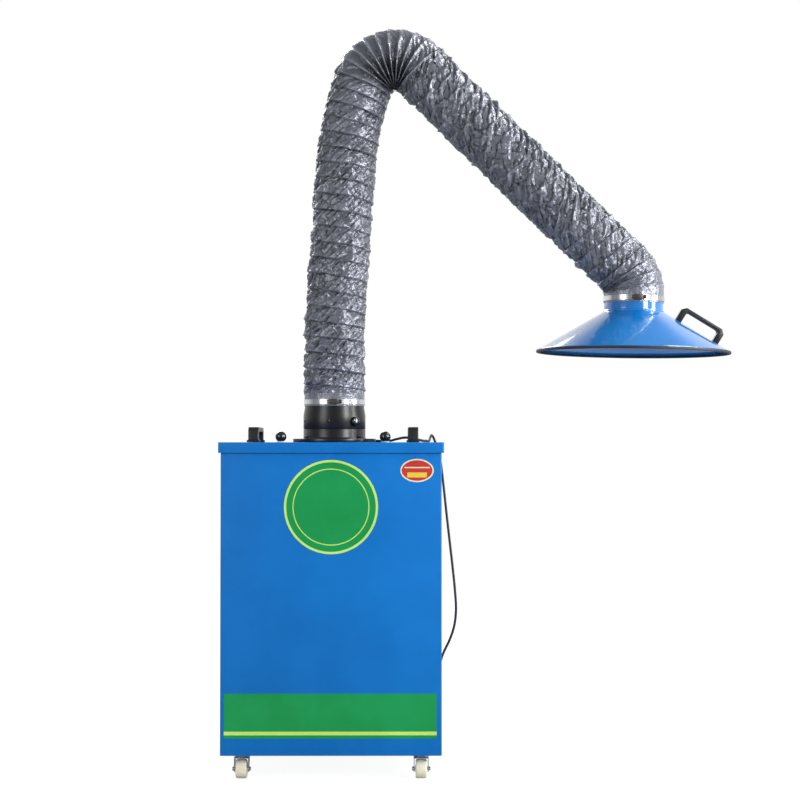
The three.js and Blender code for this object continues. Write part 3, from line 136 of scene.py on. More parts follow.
coil_steps = 30
cord_points = smooth_route(cord_route, 6)
turn_count = 2 * coil_turns + climb
cord_points += [coil_point(i / coil_steps) for i in range(round(turn_count * coil_steps) + 1)]
plug_run = 48
plug_level = coil_middle[2] + coil_pitch
cord_points += [
    (coil_middle[0] + share * plug_run, coil_middle[1] + coil_outer, plug_level)
    for share in (0.15, 0.35, 0.6, 0.8, 1.1)
]
cord_curve = bpy.data.curves.new("supply_cord", "CURVE")
cord_curve.dimensions = "3D"
cord_curve.bevel_depth = cord_size / 2 * mm
cord_curve.bevel_resolution = 4
cord_curve.use_fill_caps = True
spline = cord_curve.splines.new("POLY")
spline.points.add(len(cord_points) - 1)
for point, at in zip(spline.points, cord_points):
    point.co = (*place(*at), 1)
supply_cord = object_of("supply_cord", cord_curve)


def linear(colour):
    """An sRGB hex colour as the linear values that a shader takes"""
    channels = [int(colour[i:i + 2], 16) / 255 for i in (1, 3, 5)]
    return [c / 12.92 if c <= 0.04045 else ((c + 0.055) / 1.055) ** 2.4 for c in channels] + [1]


def add(material, kind, inputs=None, **settings):
    """Adds a node: its inputs are numbers, colours, or the outputs of other nodes"""
    made = material.node_tree.nodes.new(kind)
    for name, value in settings.items():
        setattr(made, name, value)
    for name, value in (inputs or {}).items():
        if isinstance(value, bpy.types.NodeSocket):
            material.node_tree.links.new(value, made.inputs[name])
        else:
            made.inputs[name].default_value = value
    return made


def finish(name, colour, roughness, **inputs):
    """A material with its base values set on the shader's own sockets"""
    material = bpy.data.materials.new(name)
    material.use_nodes = True
    shader = material.node_tree.nodes["Principled BSDF"]
    shader.inputs["Base Color"].default_value = linear(colour)
    shader.inputs["Roughness"].default_value = roughness
    for key, value in inputs.items():
        shader.inputs[key.replace("_", " ")].default_value = value
    return material, shader


def feed(material, shader, **sources):
    """Links outputs to the node's sockets of these names"""
    for key, source in sources.items():
        material.node_tree.links.new(source, shader.inputs[key.replace("_", " ")])


def blotches(material, where, scale, detail, roughness):
    """The value of a noise"""
    return add(material, "ShaderNodeTexNoise", {
        "Vector": where, "Scale": scale, "Detail": detail, "Roughness": roughness}).outputs["Fac"]


def raised(material, height, distance_mm, strength=1.0, **under):
    """The normal of a bump"""
    return add(material, "ShaderNodeBump", {
        "Height": height, "Strength": strength, "Distance": distance_mm * mm, **under}).outputs["Normal"]


def mapped(material, value, *limits):
    """A value taken from the first two limits to the last two, which are 0 and 1 where not given"""
    named = dict(zip(("From Min", "From Max", "To Min", "To Max"), limits))
    return add(material, "ShaderNodeMapRange", {"Value": value, **named}).outputs["Result"]


def tinted(material, share, first, second):
    """A share between two colours, each a hex colour or the output of another node"""
    first, second = (linear(one) if isinstance(one, str) else one for one in (first, second))
    return add(material, "ShaderNodeMix", {"Factor": share, "A": first, "B": second},
               data_type="RGBA").outputs["Result"]


def worked(material, operation, first, second):
    """The result of a sum on two values"""
    return add(material, "ShaderNodeMath", {0: first, 1: second}, operation=operation).outputs[0]


def surface(name, colour, roughness, grain_mm, depth_mm, dark=None, light=None, even=0.35, **inputs):
    """A moulded or sprayed surface: bumps of one grain size, and a slow drift between two colours"""
    material, shader = finish(name, colour, roughness, **inputs)
    where = add(material, "ShaderNodeTexCoord").outputs["Object"]
    grain = blotches(material, where, 1 / (grain_mm * mm), 2.0, 0.5)
    feed(material, shader, Normal=raised(material, grain, depth_mm))
    if dark:
        drift = mapped(material, blotches(material, where, 7.0, 4.0, 0.6), even, 1 - even)
        feed(material, shader, Base_Color=tinted(material, drift, dark, light))
    return material


# Rubber: matt and near black, a little paler in patches, as scuffed and dusty rubber is
rubber = surface("flex_rubber", "#1A1A1C", 0.55, 1.5, 0.03, "#161618", "#232326", IOR=1.52)
supply_cord.data.materials.append(rubber)
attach(supply_cord, "cabinet")
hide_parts("cord_free", "cord_coil")


def mode(kind):
    """Goes into edit mode or back to object mode"""
    bpy.ops.object.mode_set(mode=kind)


def pick(piece):
    """Selects this piece alone"""
    bpy.ops.object.select_all(action="DESELECT")
    piece.select_set(True)
    bpy.context.view_layer.objects.active = piece


def select(piece, test):
    """Opens a piece for editing with only its faces that pass the test selected"""
    pick(piece)
    mode("EDIT")
    bpy.ops.mesh.select_mode(type="FACE")
    bpy.ops.mesh.select_all(action="DESELECT")
    mode("OBJECT")
    for face in piece.data.polygons:
        face.select = bool(test(face.center, face.normal))
    mode("EDIT")


def open_all(piece):
    """Opens a piece for editing with all of it selected"""
    pick(piece)
    mode("EDIT")
    bpy.ops.mesh.select_all(action="SELECT")


def close(piece):
    """Merges doubles, turns the faces outwards and leaves edit mode"""
    pick(piece)
    mode("EDIT")
    bpy.ops.mesh.select_mode(type="VERT")
    bpy.ops.mesh.select_all(action="SELECT")
    bpy.ops.mesh.remove_doubles(threshold=1e-6)
    bpy.ops.mesh.normals_make_consistent(inside=False)
    mode("OBJECT")


def smooth(piece, angle=40):
    """Shades the piece smooth, except over its sharp edges"""
    pick(piece)
    bpy.ops.object.shade_smooth_by_angle(angle=math.radians(angle))
    return piece


def ease(piece, width_mm, segments=2, angle=30):
    """Rounds the sharp edges and shades the rest smooth"""
    pick(piece)
    bevel = piece.modifiers.new("edges", "BEVEL")
    bevel.width = width_mm * mm
    bevel.segments = segments
    bevel.limit_method = "ANGLE"
    bevel.angle_limit = math.radians(angle)
    bpy.ops.object.modifier_apply(modifier=bevel.name)
    return smooth(piece)


def outline(name, points, edges=None, faces=()):
    """A piece of bare points, edges and faces"""
    mesh = bpy.data.meshes.new(name)
    mesh.from_pydata(points, edges or [], list(faces))
    return object_of(name, mesh)


def spun(name, profile, sides, at, axis=(0, 0, 1), closed=False):
    """A turned form: a profile of radii and heights in millimetres, spun about an axis at a point"""
    axis = Vector(axis)
    turn = Vector((0, 0, 1)).rotation_difference(axis)
    points = [at + turn @ (Vector((r, 0, z)) * mm) for r, z in profile]
    edges = [(i, i + 1) for i in range(len(points) - 1)]
    if closed:
        edges.append((len(points) - 1, 0))
    piece = outline(name, points, edges)
    open_all(piece)
    bpy.ops.mesh.spin(steps=sides, angle=2 * math.pi, center=at, axis=axis)
    mode("OBJECT")
    close(piece)
    return piece


def disc(name, radius, low, high, sides, at, axis):
    """A plain round, or a prism of few sides, between two heights on its axis"""
    return spun(name, [(0, low), (radius, low), (radius, high), (0, high)], sides, at, axis)


def plate(name, points, depth):
    """A flat outline, given in the frame, pushed out by a vector"""
    piece = outline(name, points, faces=[range(len(points))])
    open_all(piece)
    bpy.ops.mesh.extrude_region_move(TRANSFORM_OT_translate={"value": depth})
    mode("OBJECT")
    close(piece)
    return piece


def slab(name, low, high):
    """A block between two corners, in the frame"""
    bpy.ops.mesh.primitive_cube_add(size=1, location=(low + high) / 2, scale=high - low)
    piece = bpy.context.object
    piece.name = name
    settle(piece)
    return piece


def settle(piece):
    """Puts the piece's place, turn and size into its mesh"""
    pick(piece)
    bpy.ops.object.transform_apply(location=True, rotation=True, scale=True)


def joined(name, *pieces):
    """These pieces as one, under this name"""
    pick(pieces[0])
    for piece in pieces[1:]:
        piece.select_set(True)
    bpy.ops.object.join()
    pieces[0].name = name
    return pieces[0]


def coat(piece, material):
    """Gives the piece this material alone"""
    piece.data.materials.clear()
    piece.data.materials.append(material)
    return piece


def fit(piece, body, slot, *nodes):
    """Fixes the piece to its body and hides the CAD nodes that it stands for; the slot is not used"""
    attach(piece, body)
    if nodes:
        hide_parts(*nodes)
    return piece


def copy_of(node, name):
    """A CAD node's form with its triangles merged into whole faces"""
    piece = object_of(name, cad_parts[node].data.copy())
    pick(piece)
    bpy.ops.mesh.customdata_custom_splitnormals_clear()
    open_all(piece)
    bpy.ops.mesh.remove_doubles(threshold=1e-5)
    bpy.ops.mesh.dissolve_limited(angle_limit=math.radians(0.5))
    mode("OBJECT")
    return piece


def dressed(node, name, width_mm, material, body, slot, segments=2):
    """A CAD node's own form with its edges rounded, coated and fixed in the node's place"""
    return fit(coat(ease(copy_of(node, name), width_mm, segments), material), body, slot, node)


def hex_bolt(name, at, axis, across_mm, height_mm, washer_mm=0):
    """A chamfered hexagon head, with a washer under it where a size is given"""
    lift = 1.5 if washer_mm else 0
    corner = across_mm / 2 / math.cos(math.pi / 6)
    head = ease(disc(name, corner, lift, lift + height_mm, 6, at, axis), 0.5)
    if not washer_mm:
        return head
    return joined(name, head, ease(disc(name + "_washer", washer_mm, 0, lift, 24, at, axis), 0.3))


def dome_screw(name, at, axis, radius_mm):
    """A round screw head with a hexagon socket sunk in it"""
    height = radius_mm * 0.6
    arc = [(radius_mm * math.cos(a), height * math.sin(a)) for a in
           [math.radians(d) for d in (0, 25, 50, 68)]]
    socket = radius_mm * 0.42
    profile = [(0, 0), *arc, (socket, arc[-1][1]), (socket, arc[-1][1] - height * 0.6),
               (0, arc[-1][1] - height * 0.6)]
    return smooth(spun(name, profile, 18, at, axis), 35)


def screw_set(name, body, material, radius_mm, places):
    """Screw heads, each given by its place and the way that it faces, as one piece"""
    heads = [
        dome_screw(f"{name[:-1]}_{i}", at, axis, radius_mm) for i, (at, axis) in enumerate(places)]
    fit(coat(joined(name, *heads), material), body, "bright_steel")


# Plug: a round moulded rubber body on the cord's end, with grip rings, a tapered tail and two nickelled
# pins. It lies on the lid beside the coil, with a flat where it rests.
plug_at = place(coil_middle[0] + plug_run + 0.3, coil_middle[1] + coil_outer, plug_level)
plug_body = spun("plug_body", [
    (0, 0), (4.4, 0), (4.9, 2), (4.5, 3), (5.6, 5), (5.2, 6), (6.6, 8), (6.2, 9), (7.7, 12),
    (11.5, 12.6), (13.6, 15), (14, 18), (13.2, 19.4), (13.2, 21), (14, 22.4), (13.2, 24), (13.2, 25.6),
    (14, 27), (13.2, 28.6), (13.2, 30.2), (14, 31.8), (14, 44.5), (12.5, 46), (0, 46)],
    40, plug_at, (1, 0, 0))
ease(plug_body, 0.5)
lid_top = 860.3
open_all(plug_body)
bpy.ops.mesh.bisect(
    plane_co=(0, 0, lid_top * mm), plane_no=(0, 0, 1), use_fill=True, clear_inner=True)
mode("OBJECT")
coat(plug_body, rubber)
# Nickel plate: bright and warm grey, with a faint ripple
nickel = surface("nickel_plate", "#C9C4B8", 0.22, 2, 0.01, Metallic=1.0)
pins = [
    coat(ease(spun(f"plug_pin_{i}", [
        (0, -4), (2.4, -4), (2.4, 16.8), (1.5, 18), (0, 18.4)], 20,
        plug_at + Vector((46 * mm, side * 9.5 * mm, 0)), (1, 0, 0)), 0.3), nickel)
    for i, side in enumerate((-1, 1))
]
plug = fit(joined("plug", plug_body, *pins), "cabinet", "black_rubber", "cord_plug")

# Floor, backdrop and lamps: a plain pale studio sweep, seen white by the camera and by shiny metal.
# Broad lamps stand in front, the right one stronger, and others on the right, overhead and behind.
bpy.ops.mesh.primitive_plane_add(size=60, location=(0, 0, 0))
floor = bpy.context.object
floor.name = "floor"
floor_paint, floor_shader = finish("studio_floor_paint", "#B8B8B8", 0.9, Specular_IOR_Level=0.1)
floor_rays = add(floor_paint, "ShaderNodeLightPath").outputs
seen = worked(floor_paint, "MULTIPLY", floor_rays["Is Camera Ray"], 0.65)
glow = add(floor_paint, "ShaderNodeEmission", {"Color": (1, 1, 1, 1), "Strength": 1.45})
floor_share = add(floor_paint, "ShaderNodeMixShader", {
    "Fac": seen, 1: floor_shader.outputs["BSDF"], 2: glow.outputs["Emission"]})
feed(floor_paint, floor_paint.node_tree.nodes["Material Output"], Surface=floor_share.outputs["Shader"])
floor.data.materials.append(floor_paint)

world = bpy.data.worlds.new("studio")
world.use_nodes = True
bpy.context.scene.world = world
sky = world.node_tree.nodes["Background"]
sky.inputs["Color"].default_value = (0.93, 0.96, 1.0, 1)
sky.inputs["Strength"].default_value = 0.36
backdrop = add(world, "ShaderNodeBackground", {"Color": (1, 1, 1, 1), "Strength": 1.0})
world_rays = add(world, "ShaderNodeLightPath").outputs
# The white sweep stands behind the object and reaches a little over it. A white panel stands on the
# right from the floor's line upwards, seen only in reflections, and the rest of the room is dim
direction = add(world, "ShaderNodeTexCoord").outputs["Generated"]
toward = add(world, "ShaderNodeSeparateXYZ", {"Vector": direction}).outputs
below_top = mapped(world, toward["Z"], 0.6, 0.74, 1.0, 0.0)
sweep = worked(world, "MULTIPLY", mapped(world, toward["Y"], -0.1, 0.5), below_top)
above_foot = mapped(world, toward["Z"], -0.02, 0.14)
panel = worked(world, "MULTIPLY", mapped(world, toward["X"], 0.3, 0.5), above_foot)
pale = worked(world, "MAXIMUM", sweep, panel)
mirrored = worked(world, "MULTIPLY", world_rays["Is Glossy Ray"], pale)
direct = worked(world, "MAXIMUM", world_rays["Is Camera Ray"], world_rays["Is Transmission Ray"])
world_share = add(world, "ShaderNodeMixShader", {
    "Fac": worked(world, "MAXIMUM", direct, mirrored), 1: sky.outputs["Background"],
    2: backdrop.outputs["Background"]})
feed(world, world.node_tree.nodes["World Output"], Surface=world_share.outputs["Shader"])


def lamp(name, at, aim, size, watts):
    """A broad lamp, turned towards the point that it lights"""
    light = bpy.data.lights.new(name, "AREA")
    light.shape = "RECTANGLE"
    light.size, light.size_y = size
    light.energy = watts
    holder = object_of(name, light)
    holder.location = at
    holder.rotation_euler = (Vector(aim) - Vector(at)).to_track_quat("-Z", "Y").to_euler()


lamp("lamp_left", (-3.4, -3.6, 1.7), (-0.1, 0, 0.8), (1.8, 2.4), 58)
lamp("lamp_right", (3.3, -3.4, 2.2), (0.1, 0, 1.0), (1.2, 1.8), 128)
lamp("lamp_side", (3.2, -0.7, 1.9), (0, 0, 1.4), (0.7, 2.2), 85)
lamp("lamp_over", (1.9, 0.7, 3.7), (0.2, 0, 1.3), (1.0, 1.0), 54)
lamp("lamp_back", (-1.6, 3.6, 3.0), (0, 0, 0.9), (2.4, 1.6), 70)

# Cabinet casing: 1.5 mm steel sheet, folded into front and sides and powder coated blue. The coat gives
# even colour, a soft sheen and the fine ripple of orange peel, drawn at 3 mm so that it shows.
blue_coat = surface(
    "powder_coat_blue", "#0A73C5", 0.42, 3, 0.035, "#0870C1", "#0C77CA", IOR=1.5,
    Specular_IOR_Level=0.2)
dressed("body_wrap", "casing", 0.5, blue_coat, "cabinet", "blue_paint")

# Base tray: a folded pan that the casing stands on, with the four castor plates welded under it, in the
# same blue coat.
dressed("base_tray", "floor_tray", 0.6, blue_coat, "cabinet", "blue_paint")

# Lid: a folded pan with turned down edges, screwed to the casing, with holes for the duct and the rods.
dressed("lid", "cabinet_lid", 1.2, blue_coat, "cabinet", "blue_paint", 3)

# Labels: two printed labels and a band on the front, all of vinyl film, kept free of words. Vinyl is
# smooth and half glossy, with a faint stipple from its glue.
film_mm = 0.3
front = wrap_low.y


def vinyl(name, colour, dark, light, roughness=0.34, **inputs):
    """A vinyl film that drifts slowly about one colour"""
    return surface("vinyl_" + name, colour, roughness, 6, 0.02, dark, light, IOR=1.5, **inputs)


green_film = vinyl("green", "#0A964C", "#089248", "#0D9D54", 0.4, Specular_IOR_Level=0.35)
lime_film = vinyl("lime", "#C8EE6E", "#C2EA66", "#D0F27A")
red_film = vinyl("red", "#C9352B", "#C02F26", "#D23C31")
cream_film = vinyl("cream", "#EFE9C8", "#E9E2BF", "#F3EED2")
yellow_film = vinyl("yellow", "#E9CF3E", "#E3C835", "#EED64A")


def film_piece(name, centre, half_x, half_z, materials, margins):
    """A flat film on the front, round or oval, whose edge is divided by insets into rings of colour"""
    x, z = centre
    sides = 96
    points = [
        place(x, 0, z) + Vector((half_x * mm * math.cos(a), 0, half_z * mm * math.sin(a)))
        for a in [2 * math.pi * i / sides for i in range(sides)]
    ]
    for point in points:
        point.y = front
    piece = plate(name, points, (0, -film_mm * mm, 0))
    for material in materials:
        piece.data.materials.append(material)
    select(piece, lambda at, normal: normal.y < -0.9)
    for index, margin in enumerate(margins):
        bpy.ops.mesh.inset(thickness=margin * mm)
        piece.active_material_index = index + 1
        bpy.ops.object.material_slot_assign()
    mode("OBJECT")
    return ease(piece, 0.12, 1)


round_film = film_piece(
    "round_label", (-0.2, 695), 120, 120,
    [lime_film, green_film, lime_film, green_film], [6, 16, 2.5])
fit(round_film, "cabinet", "blue_paint")
oval_film = film_piece("oval_label", (219, 788), 42.6, 29.6, [cream_film, red_film], [3.4])
fit(oval_film, "cabinet", "blue_paint")
for name, low, high, layers, film in (
    ("green_band", (-272, 108), (268.8, 221.5), 1, green_film),
    ("lime_stripe", (-272, 116), (268.8, 125.4), 1.6, lime_film),
    ("yellow_stripe", (194, 770.5), (244, 783), 1.6, yellow_film),
    ("cream_stripe", (187, 794), (251, 797), 1.6, cream_film),
):
    band = slab(name, place(low[0], 0, low[1]), place(high[0], 0, high[1]) + Vector((0, 1 * mm, 0)))
    for vertex in band.data.vertices:
        vertex.co.y = front - (layers * film_mm * mm if vertex.co.y < middle.y + 0.5 * mm else 0)
    fit(coat(ease(band, 0.12, 1), film), "cabinet", "blue_paint")

# Rear side: panel with pressed louvres, the filter door on its long hinge and the dust drawer, all blue
# coated sheet, held by small zinc plated screws.
dressed("rear_panel", "back_panel", 0.5, blue_coat, "cabinet", "blue_paint")
dressed("rear_door", "filter_door_pan", 0.8, blue_coat, "filter_door", "blue_paint")
dressed("dust_drawer", "drawer_pan", 0.6, blue_coat, "drawer", "blue_paint")
# Zinc plate: bright blue-grey metal with a fine satin
zinc = surface("zinc_plate", "#C3C7CC", 0.28, 1.5, 0.012, "#B7BBC1", "#D2D6DA", Metallic=1.0)
panel_face = 251.8
screw_rows = [(side * 272, z) for side in (-1, 1) for z in (80, 200, 290, 440, 600, 770, 845)]
screw_rows += [(x, 845) for x in (-150, 0, 150)]
screw_set("panel_screws", "cabinet", zinc, 4, [
    (place(x, panel_face, z), (0, 1, 0)) for x, z in screw_rows])
screw_set("lid_screws", "cabinet", zinc, 4, [
    (place(side * 288, y, 846), (side, 0, 0)) for side in (-1, 1) for y in (-170, 0, 170)])

# Inside: galvanised sheet, with the frost-like spangle of hot dip zinc, about 12 mm across
spangle, spangle_shader = finish("galvanised_sheet", "#A9ADB2", 0.42, Metallic=0.9)
spangle_where = add(spangle, "ShaderNodeTexCoord").outputs["Object"]
cells = add(spangle, "ShaderNodeTexVoronoi", {"Vector": spangle_where, "Scale": 1 / (12 * mm)})
cell = add(spangle, "ShaderNodeSeparateColor", {"Color": cells.outputs["Color"]}).outputs
feed(spangle, spangle_shader, Base_Color=tinted(spangle, cell["Red"], "#9A9EA4", "#BCC0C5"),
     Roughness=mapped(spangle, cell["Green"], 0, 1, 0.32, 0.55))


def dress(material, *nodes):
    """Gives a CAD node that stays in view its real finish"""
    for node in nodes:
        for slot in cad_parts[node].material_slots:
            slot.material = material


dress(
    spangle, "door_hinge", "fan_deck", "tube_sheet", "inlet_duct", "dust_hopper", "filter_core_left",
    "filter_core_right", "fan_scroll", "impeller", "lower_link", "upper_link")
dress(zinc, "rapping_rod_left", "rapping_rod_right", "shoulder_bolt", "elbow_bolt", "wrist_bolt")

# Filter paper: pleated cellulose, off white, matt, greyed in patches by dust
paper = surface("filter_paper", "#E2DFD3", 0.9, 2, 0.1, "#C9C5B8", "#ECEADF", 0.3)
dress(paper, "filter_pleats_left", "filter_pleats_right")

# Motor: cast iron under grey-blue hammer paint, dimpled about every 4 mm
hammer = surface("hammer_paint_grey", "#7D8A92", 0.4, 4, 0.25, "#74818A", "#87949C", Metallic=0.2)
dress(hammer, "motor")

# Nylon: cream and waxy, moulded with a fine texture, a little darker in patches
nylon = surface("moulded_nylon_cream", "#FFF8DC", 0.36, 2.5, 0.03, "#F8EFCF", "#FFFBE6", IOR=1.53)
dress(nylon, "rod_bush_left", "rod_bush_right")

# Moulded black plastic: glass filled nylon, spark textured, satin. The texture is drawn at 1.5 mm
black_moulding = surface(
    "moulded_nylon_black", "#121214", 0.4, 1.5, 0.06, "#101012", "#18181B", IOR=1.53)

# Control box, gland and buttons: a grey ABS case held by four screws on the rear panel; the gland
# screws into its foot, and each cap presses in through a collar.
abs_grey = surface("abs_grey", "#C9CBC7", 0.45, 1.5, 0.05, "#C2C4C0", "#D0D2CE", IOR=1.54)
dressed("control_box", "switch_case", 1.2, abs_grey, "cabinet", "box_plastic", 3)
case_low, case_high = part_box("control_box")
case_x = (case_low.x + case_high.x) / 2
screw_set("case_screws", "cabinet", zinc, 2.6, [
    (Vector((case_x + side * 24 * mm, case_high.y, z)), (0, 1, 0))
    for side in (-1, 1) for z in (case_low.z + 8 * mm, case_high.z - 8 * mm)])
for node, colour, dark, light in (
    ("start_button", "#1F9A4A", "#1A9044", "#27A553"), ("stop_button", "#C8281E", "#BC2219", "#D4332A"),
):
    # Polycarbonate caps: clear colour and a clean gloss
    cap_plastic = surface(f"polycarbonate_{node}", colour, 0.2, 2, 0.015, dark, light, IOR=1.58)
    cap_low, cap_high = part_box(node)
    cap_middle = (cap_low + cap_high) / 2
    cap = spun(node + "_cap", [
        (0, 0), (6.2, 0), (8, 1.8), (8, 18), (11, 18), (11, 22.6), (9.6, 25), (7.6, 24.6), (6.4, 24.1),
        (0, 23.6)], 40, Vector((cap_middle.x, cap_low.y, cap_middle.z)), (0, 1, 0))
    name = node.split("_")[0]
    slot = "green_plastic" if name == "start" else "red_plastic"
    fit(coat(ease(cap, 0.4, 2, 20), cap_plastic), name, slot, node)
    ring = spun(node + "_collar", [(11.6, 0), (13.4, 0), (13.4, 2.4), (12.8, 3), (11.6, 3)],
                40, Vector((cap_middle.x, case_high.y, cap_middle.z)), (0, 1, 0), closed=True)
    fit(coat(ease(ring, 0.3), black_moulding), "cabinet", "black_plastic")
gland_low, gland_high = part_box("cord_gland")
gland_at = Vector(((gland_low.x + gland_high.x) / 2, (gland_low.y + gland_high.y) / 2, gland_low.z))
gland = spun("cable_gland", [
    (3.8, 24), (10, 24), (10, 15.5), (8.8, 14.4), (8.4, 11), (7.2, 10.4), (7.6, 8.6), (6.4, 8),
    (6.9, 6.2), (5.8, 5.6), (6.2, 3.8), (5.3, 3.2), (5.5, 0), (3.8, 0)], 36, gland_at, closed=True)
nut = hex_bolt("gland_nut", gland_at + Vector((0, 0, 15 * mm)), (0, 0, 1), 19.5, 7)
fit(coat(joined("cable_gland", ease(gland, 0.3), nut), black_moulding),
    "cabinet", "black_plastic", "cord_gland")

# Pulls on the door and the drawer, and the two push handles on the lid: bows of glass filled nylon.
dressed("door_handle", "door_pull", 1.4, black_moulding, "filter_door", "black_plastic", 3)
dressed("drawer_handle", "drawer_pull", 1.4, black_moulding, "drawer", "black_plastic", 3)
for side in ("left", "right"):
    dressed(f"handle_{side}", f"push_bow_{side}", 1.8, black_moulding, "cabinet", "black_plastic", 3)

# Knobs: turned phenolic balls on the rapping rods, polished to a deep black gloss, flat at the foot.
phenolic = surface(
    "phenolic_black", "#0A0A0C", 0.16, 8, 0.01, "#0C0C0E", "#141417", IOR=1.6, Coat_Weight=0.3)
ball_radius = 14.5
for side in ("left", "right"):
    low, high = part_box(f"ball_knob_{side}")
    centre = Vector(((low.x + high.x) / 2, (low.y + high.y) / 2, high.z - ball_radius * mm))
    foot = (low.z - centre.z) / mm
    start = math.asin(foot / ball_radius)
    arc = [(ball_radius * math.cos(a), ball_radius * math.sin(a)) for a in
           [start + (math.pi / 2 - start) * i / 20 for i in range(21)]]
    arc[-1] = (0, ball_radius)
    ball = smooth(spun(f"ball_{side}", [(0, foot), *arc], 48, centre))
    fit(coat(ball, phenolic), f"rapper_{side}", "knob_plastic", f"ball_knob_{side}")

# Castors: a pressed and zinc plated fork turns on a race under each plate, and a cream nylon wheel runs
# on an axle with a hexagon head at both ends.
corners = ("front_left", "front_right", "rear_left", "rear_right")
wheel_at = {}
for corner in corners:
    low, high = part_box(f"castor_wheel_{corner}")
    wheel_at[corner] = (low + high) / 2
first = wheel_at["front_left"]
trail = 18
fork_half = 19
fork_sheet = 2
fork_eye = 9
crown_front = 12.6
crown_rear = 30.6
crown_half = 1
race_height = 8
fork_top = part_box("castor_fork_front_left")[1].z
crown_z = fork_top - race_height * mm


def cheek(side):
    """One side of the fork: a plate that narrows from its crown to a round eye at the axle"""
    crown = (crown_z - first.z) / mm
    eye = [(-fork_eye * math.cos(a), -fork_eye * math.sin(a)) for a in
           [math.pi * i / 12 for i in range(13)]]
    points = [(trail + crown_front, crown), (trail - crown_rear, crown), *eye]
    x = first.x + side * fork_half * mm
    line = [Vector((x, first.y + y * mm, first.z + z * mm)) for y, z in points]
    return plate(f"cheek_{side}", line, (-side * fork_sheet * mm, 0, 0))


race_at = Vector((first.x, first.y + trail * mm, fork_top))
crown_plate = slab(
    "crown",
    Vector((first.x - fork_half * mm, first.y + (trail - crown_rear) * mm, crown_z - crown_half * mm)),
    Vector((first.x + fork_half * mm, first.y + (trail + crown_front) * mm, crown_z + crown_half * mm)))
race = spun("race", [
    (0, -race_height), (20, -race_height), (20, -5.4), (17.5, -4.6), (17.5, -3.6), (20, -2.8), (20, 0),
    (0, 0)], 48, race_at)
axle_ends = [
    hex_bolt(f"axle_end_{side}", first + Vector((side * fork_half * mm, 0, 0)), (side, 0, 0), 9, 3, 6)
    for side in (-1, 1)]
axle = disc("axle", 4, -fork_half, fork_half, 24, first, (1, 0, 0))
fork_master = joined(
    "fork_master", ease(cheek(-1), 0.6), ease(cheek(1), 0.6), ease(crown_plate, 0.6), ease(race, 0.4),
    axle, *axle_ends)
coat(fork_master, zinc)
wheel_side = [
    (4.6, 15.4), (8.5, 15.4), (9, 14), (11, 13.2), (18.5, 13.2), (20.4, 14.2), (22.2, 14), (23.8, 12.2),
    (24.5, 9)]
wheel_master = spun(
    "wheel_master", wheel_side + [(r, -z) for r, z in reversed(wheel_side)], 56, first, (1, 0, 0),
    closed=True)
coat(ease(wheel_master, 0.5, 2, 25), nylon)
for corner in corners:
    for master, part, name, body, slot in (
        (fork_master, "castor_fork", "fork", "castor", "galvanised"),
        (wheel_master, "castor_wheel", "wheel", "wheel", "cream_nylon"),
    ):
        piece = object_of(f"{name}_{corner}", master.data.copy())
        piece.location = wheel_at[corner] - first
        settle(piece)
        fit(piece, f"{body}_{corner}", slot, f"{part}_{corner}")
for master in (fork_master, wheel_master):
    bpy.data.objects.remove(master)

# Arm flange and swivel collar: turned steel, powder coated black. The flange is held on the lid by four
# bolts, and the collar turns on it, with a ring of socket screws and a locking knob.
black_coat = surface("powder_coat_black", "#0C0D10", 0.3, 2.5, 0.05, "#0A0B0D", "#121316", IOR=1.5)
duct = place(0, 0, 0)
flange = spun("lid_flange", [
    (74, lid_top), (111.5, lid_top), (111.5, 869.8), (86, 869.8), (84.4, 871.4), (83.4, 874),
    (83.4, 895), (74, 895)], 128, duct, closed=True)
ease(flange, 0.9)
lug_bolts = [
    hex_bolt(f"lug_{i}", duct + Vector((98 * mm * math.cos(a), 98 * mm * math.sin(a), 869.8 * mm)),
             (0, 0, 1), 14, 4.4, 10)
    for i, a in enumerate([math.radians(45 + 90 * k) for k in range(4)])
]
fit(coat(joined("lid_flange", flange, *lug_bolts), black_coat), "cabinet", "black_paint", "mount_flange")
collar = spun("swivel_ring", [
    (71, 875.5), (73.5, 875.5), (73.5, 895.5), (83.4, 895.5), (83.4, 932), (79.85, 952), (79.85, 987),
    (77.35, 987), (77.35, 952), (71, 932)], 128, duct, closed=True)
ease(collar, 0.6)
ear_half = 12
ear_side = 8.5
ear_sheet = 4
eye_radius = 14
ear_foot = 965
shoulder_z = 1050
ears = []
for side in (-1, 1):
    ears.append(slab(
        f"ear_{side}", place(-ear_half, side * ear_side - ear_sheet / 2, ear_foot),
        place(ear_half, side * ear_side + ear_sheet / 2, shoulder_z)))
    ears.append(disc(
        f"ear_eye_{side}", eye_radius, -ear_sheet / 2, ear_sheet / 2, 32,
        place(0, side * ear_side, shoulder_z), (0, 1, 0)))
strap = slab("strap", place(-ear_half, -78.6, ear_foot), place(ear_half, 78.6, ear_foot + 5))
collar = joined("swivel_ring", collar, *[ease(part, 0.5) for part in [*ears, strap]])
fit(coat(collar, black_coat), "swivel", "black_paint", "swivel_collar")
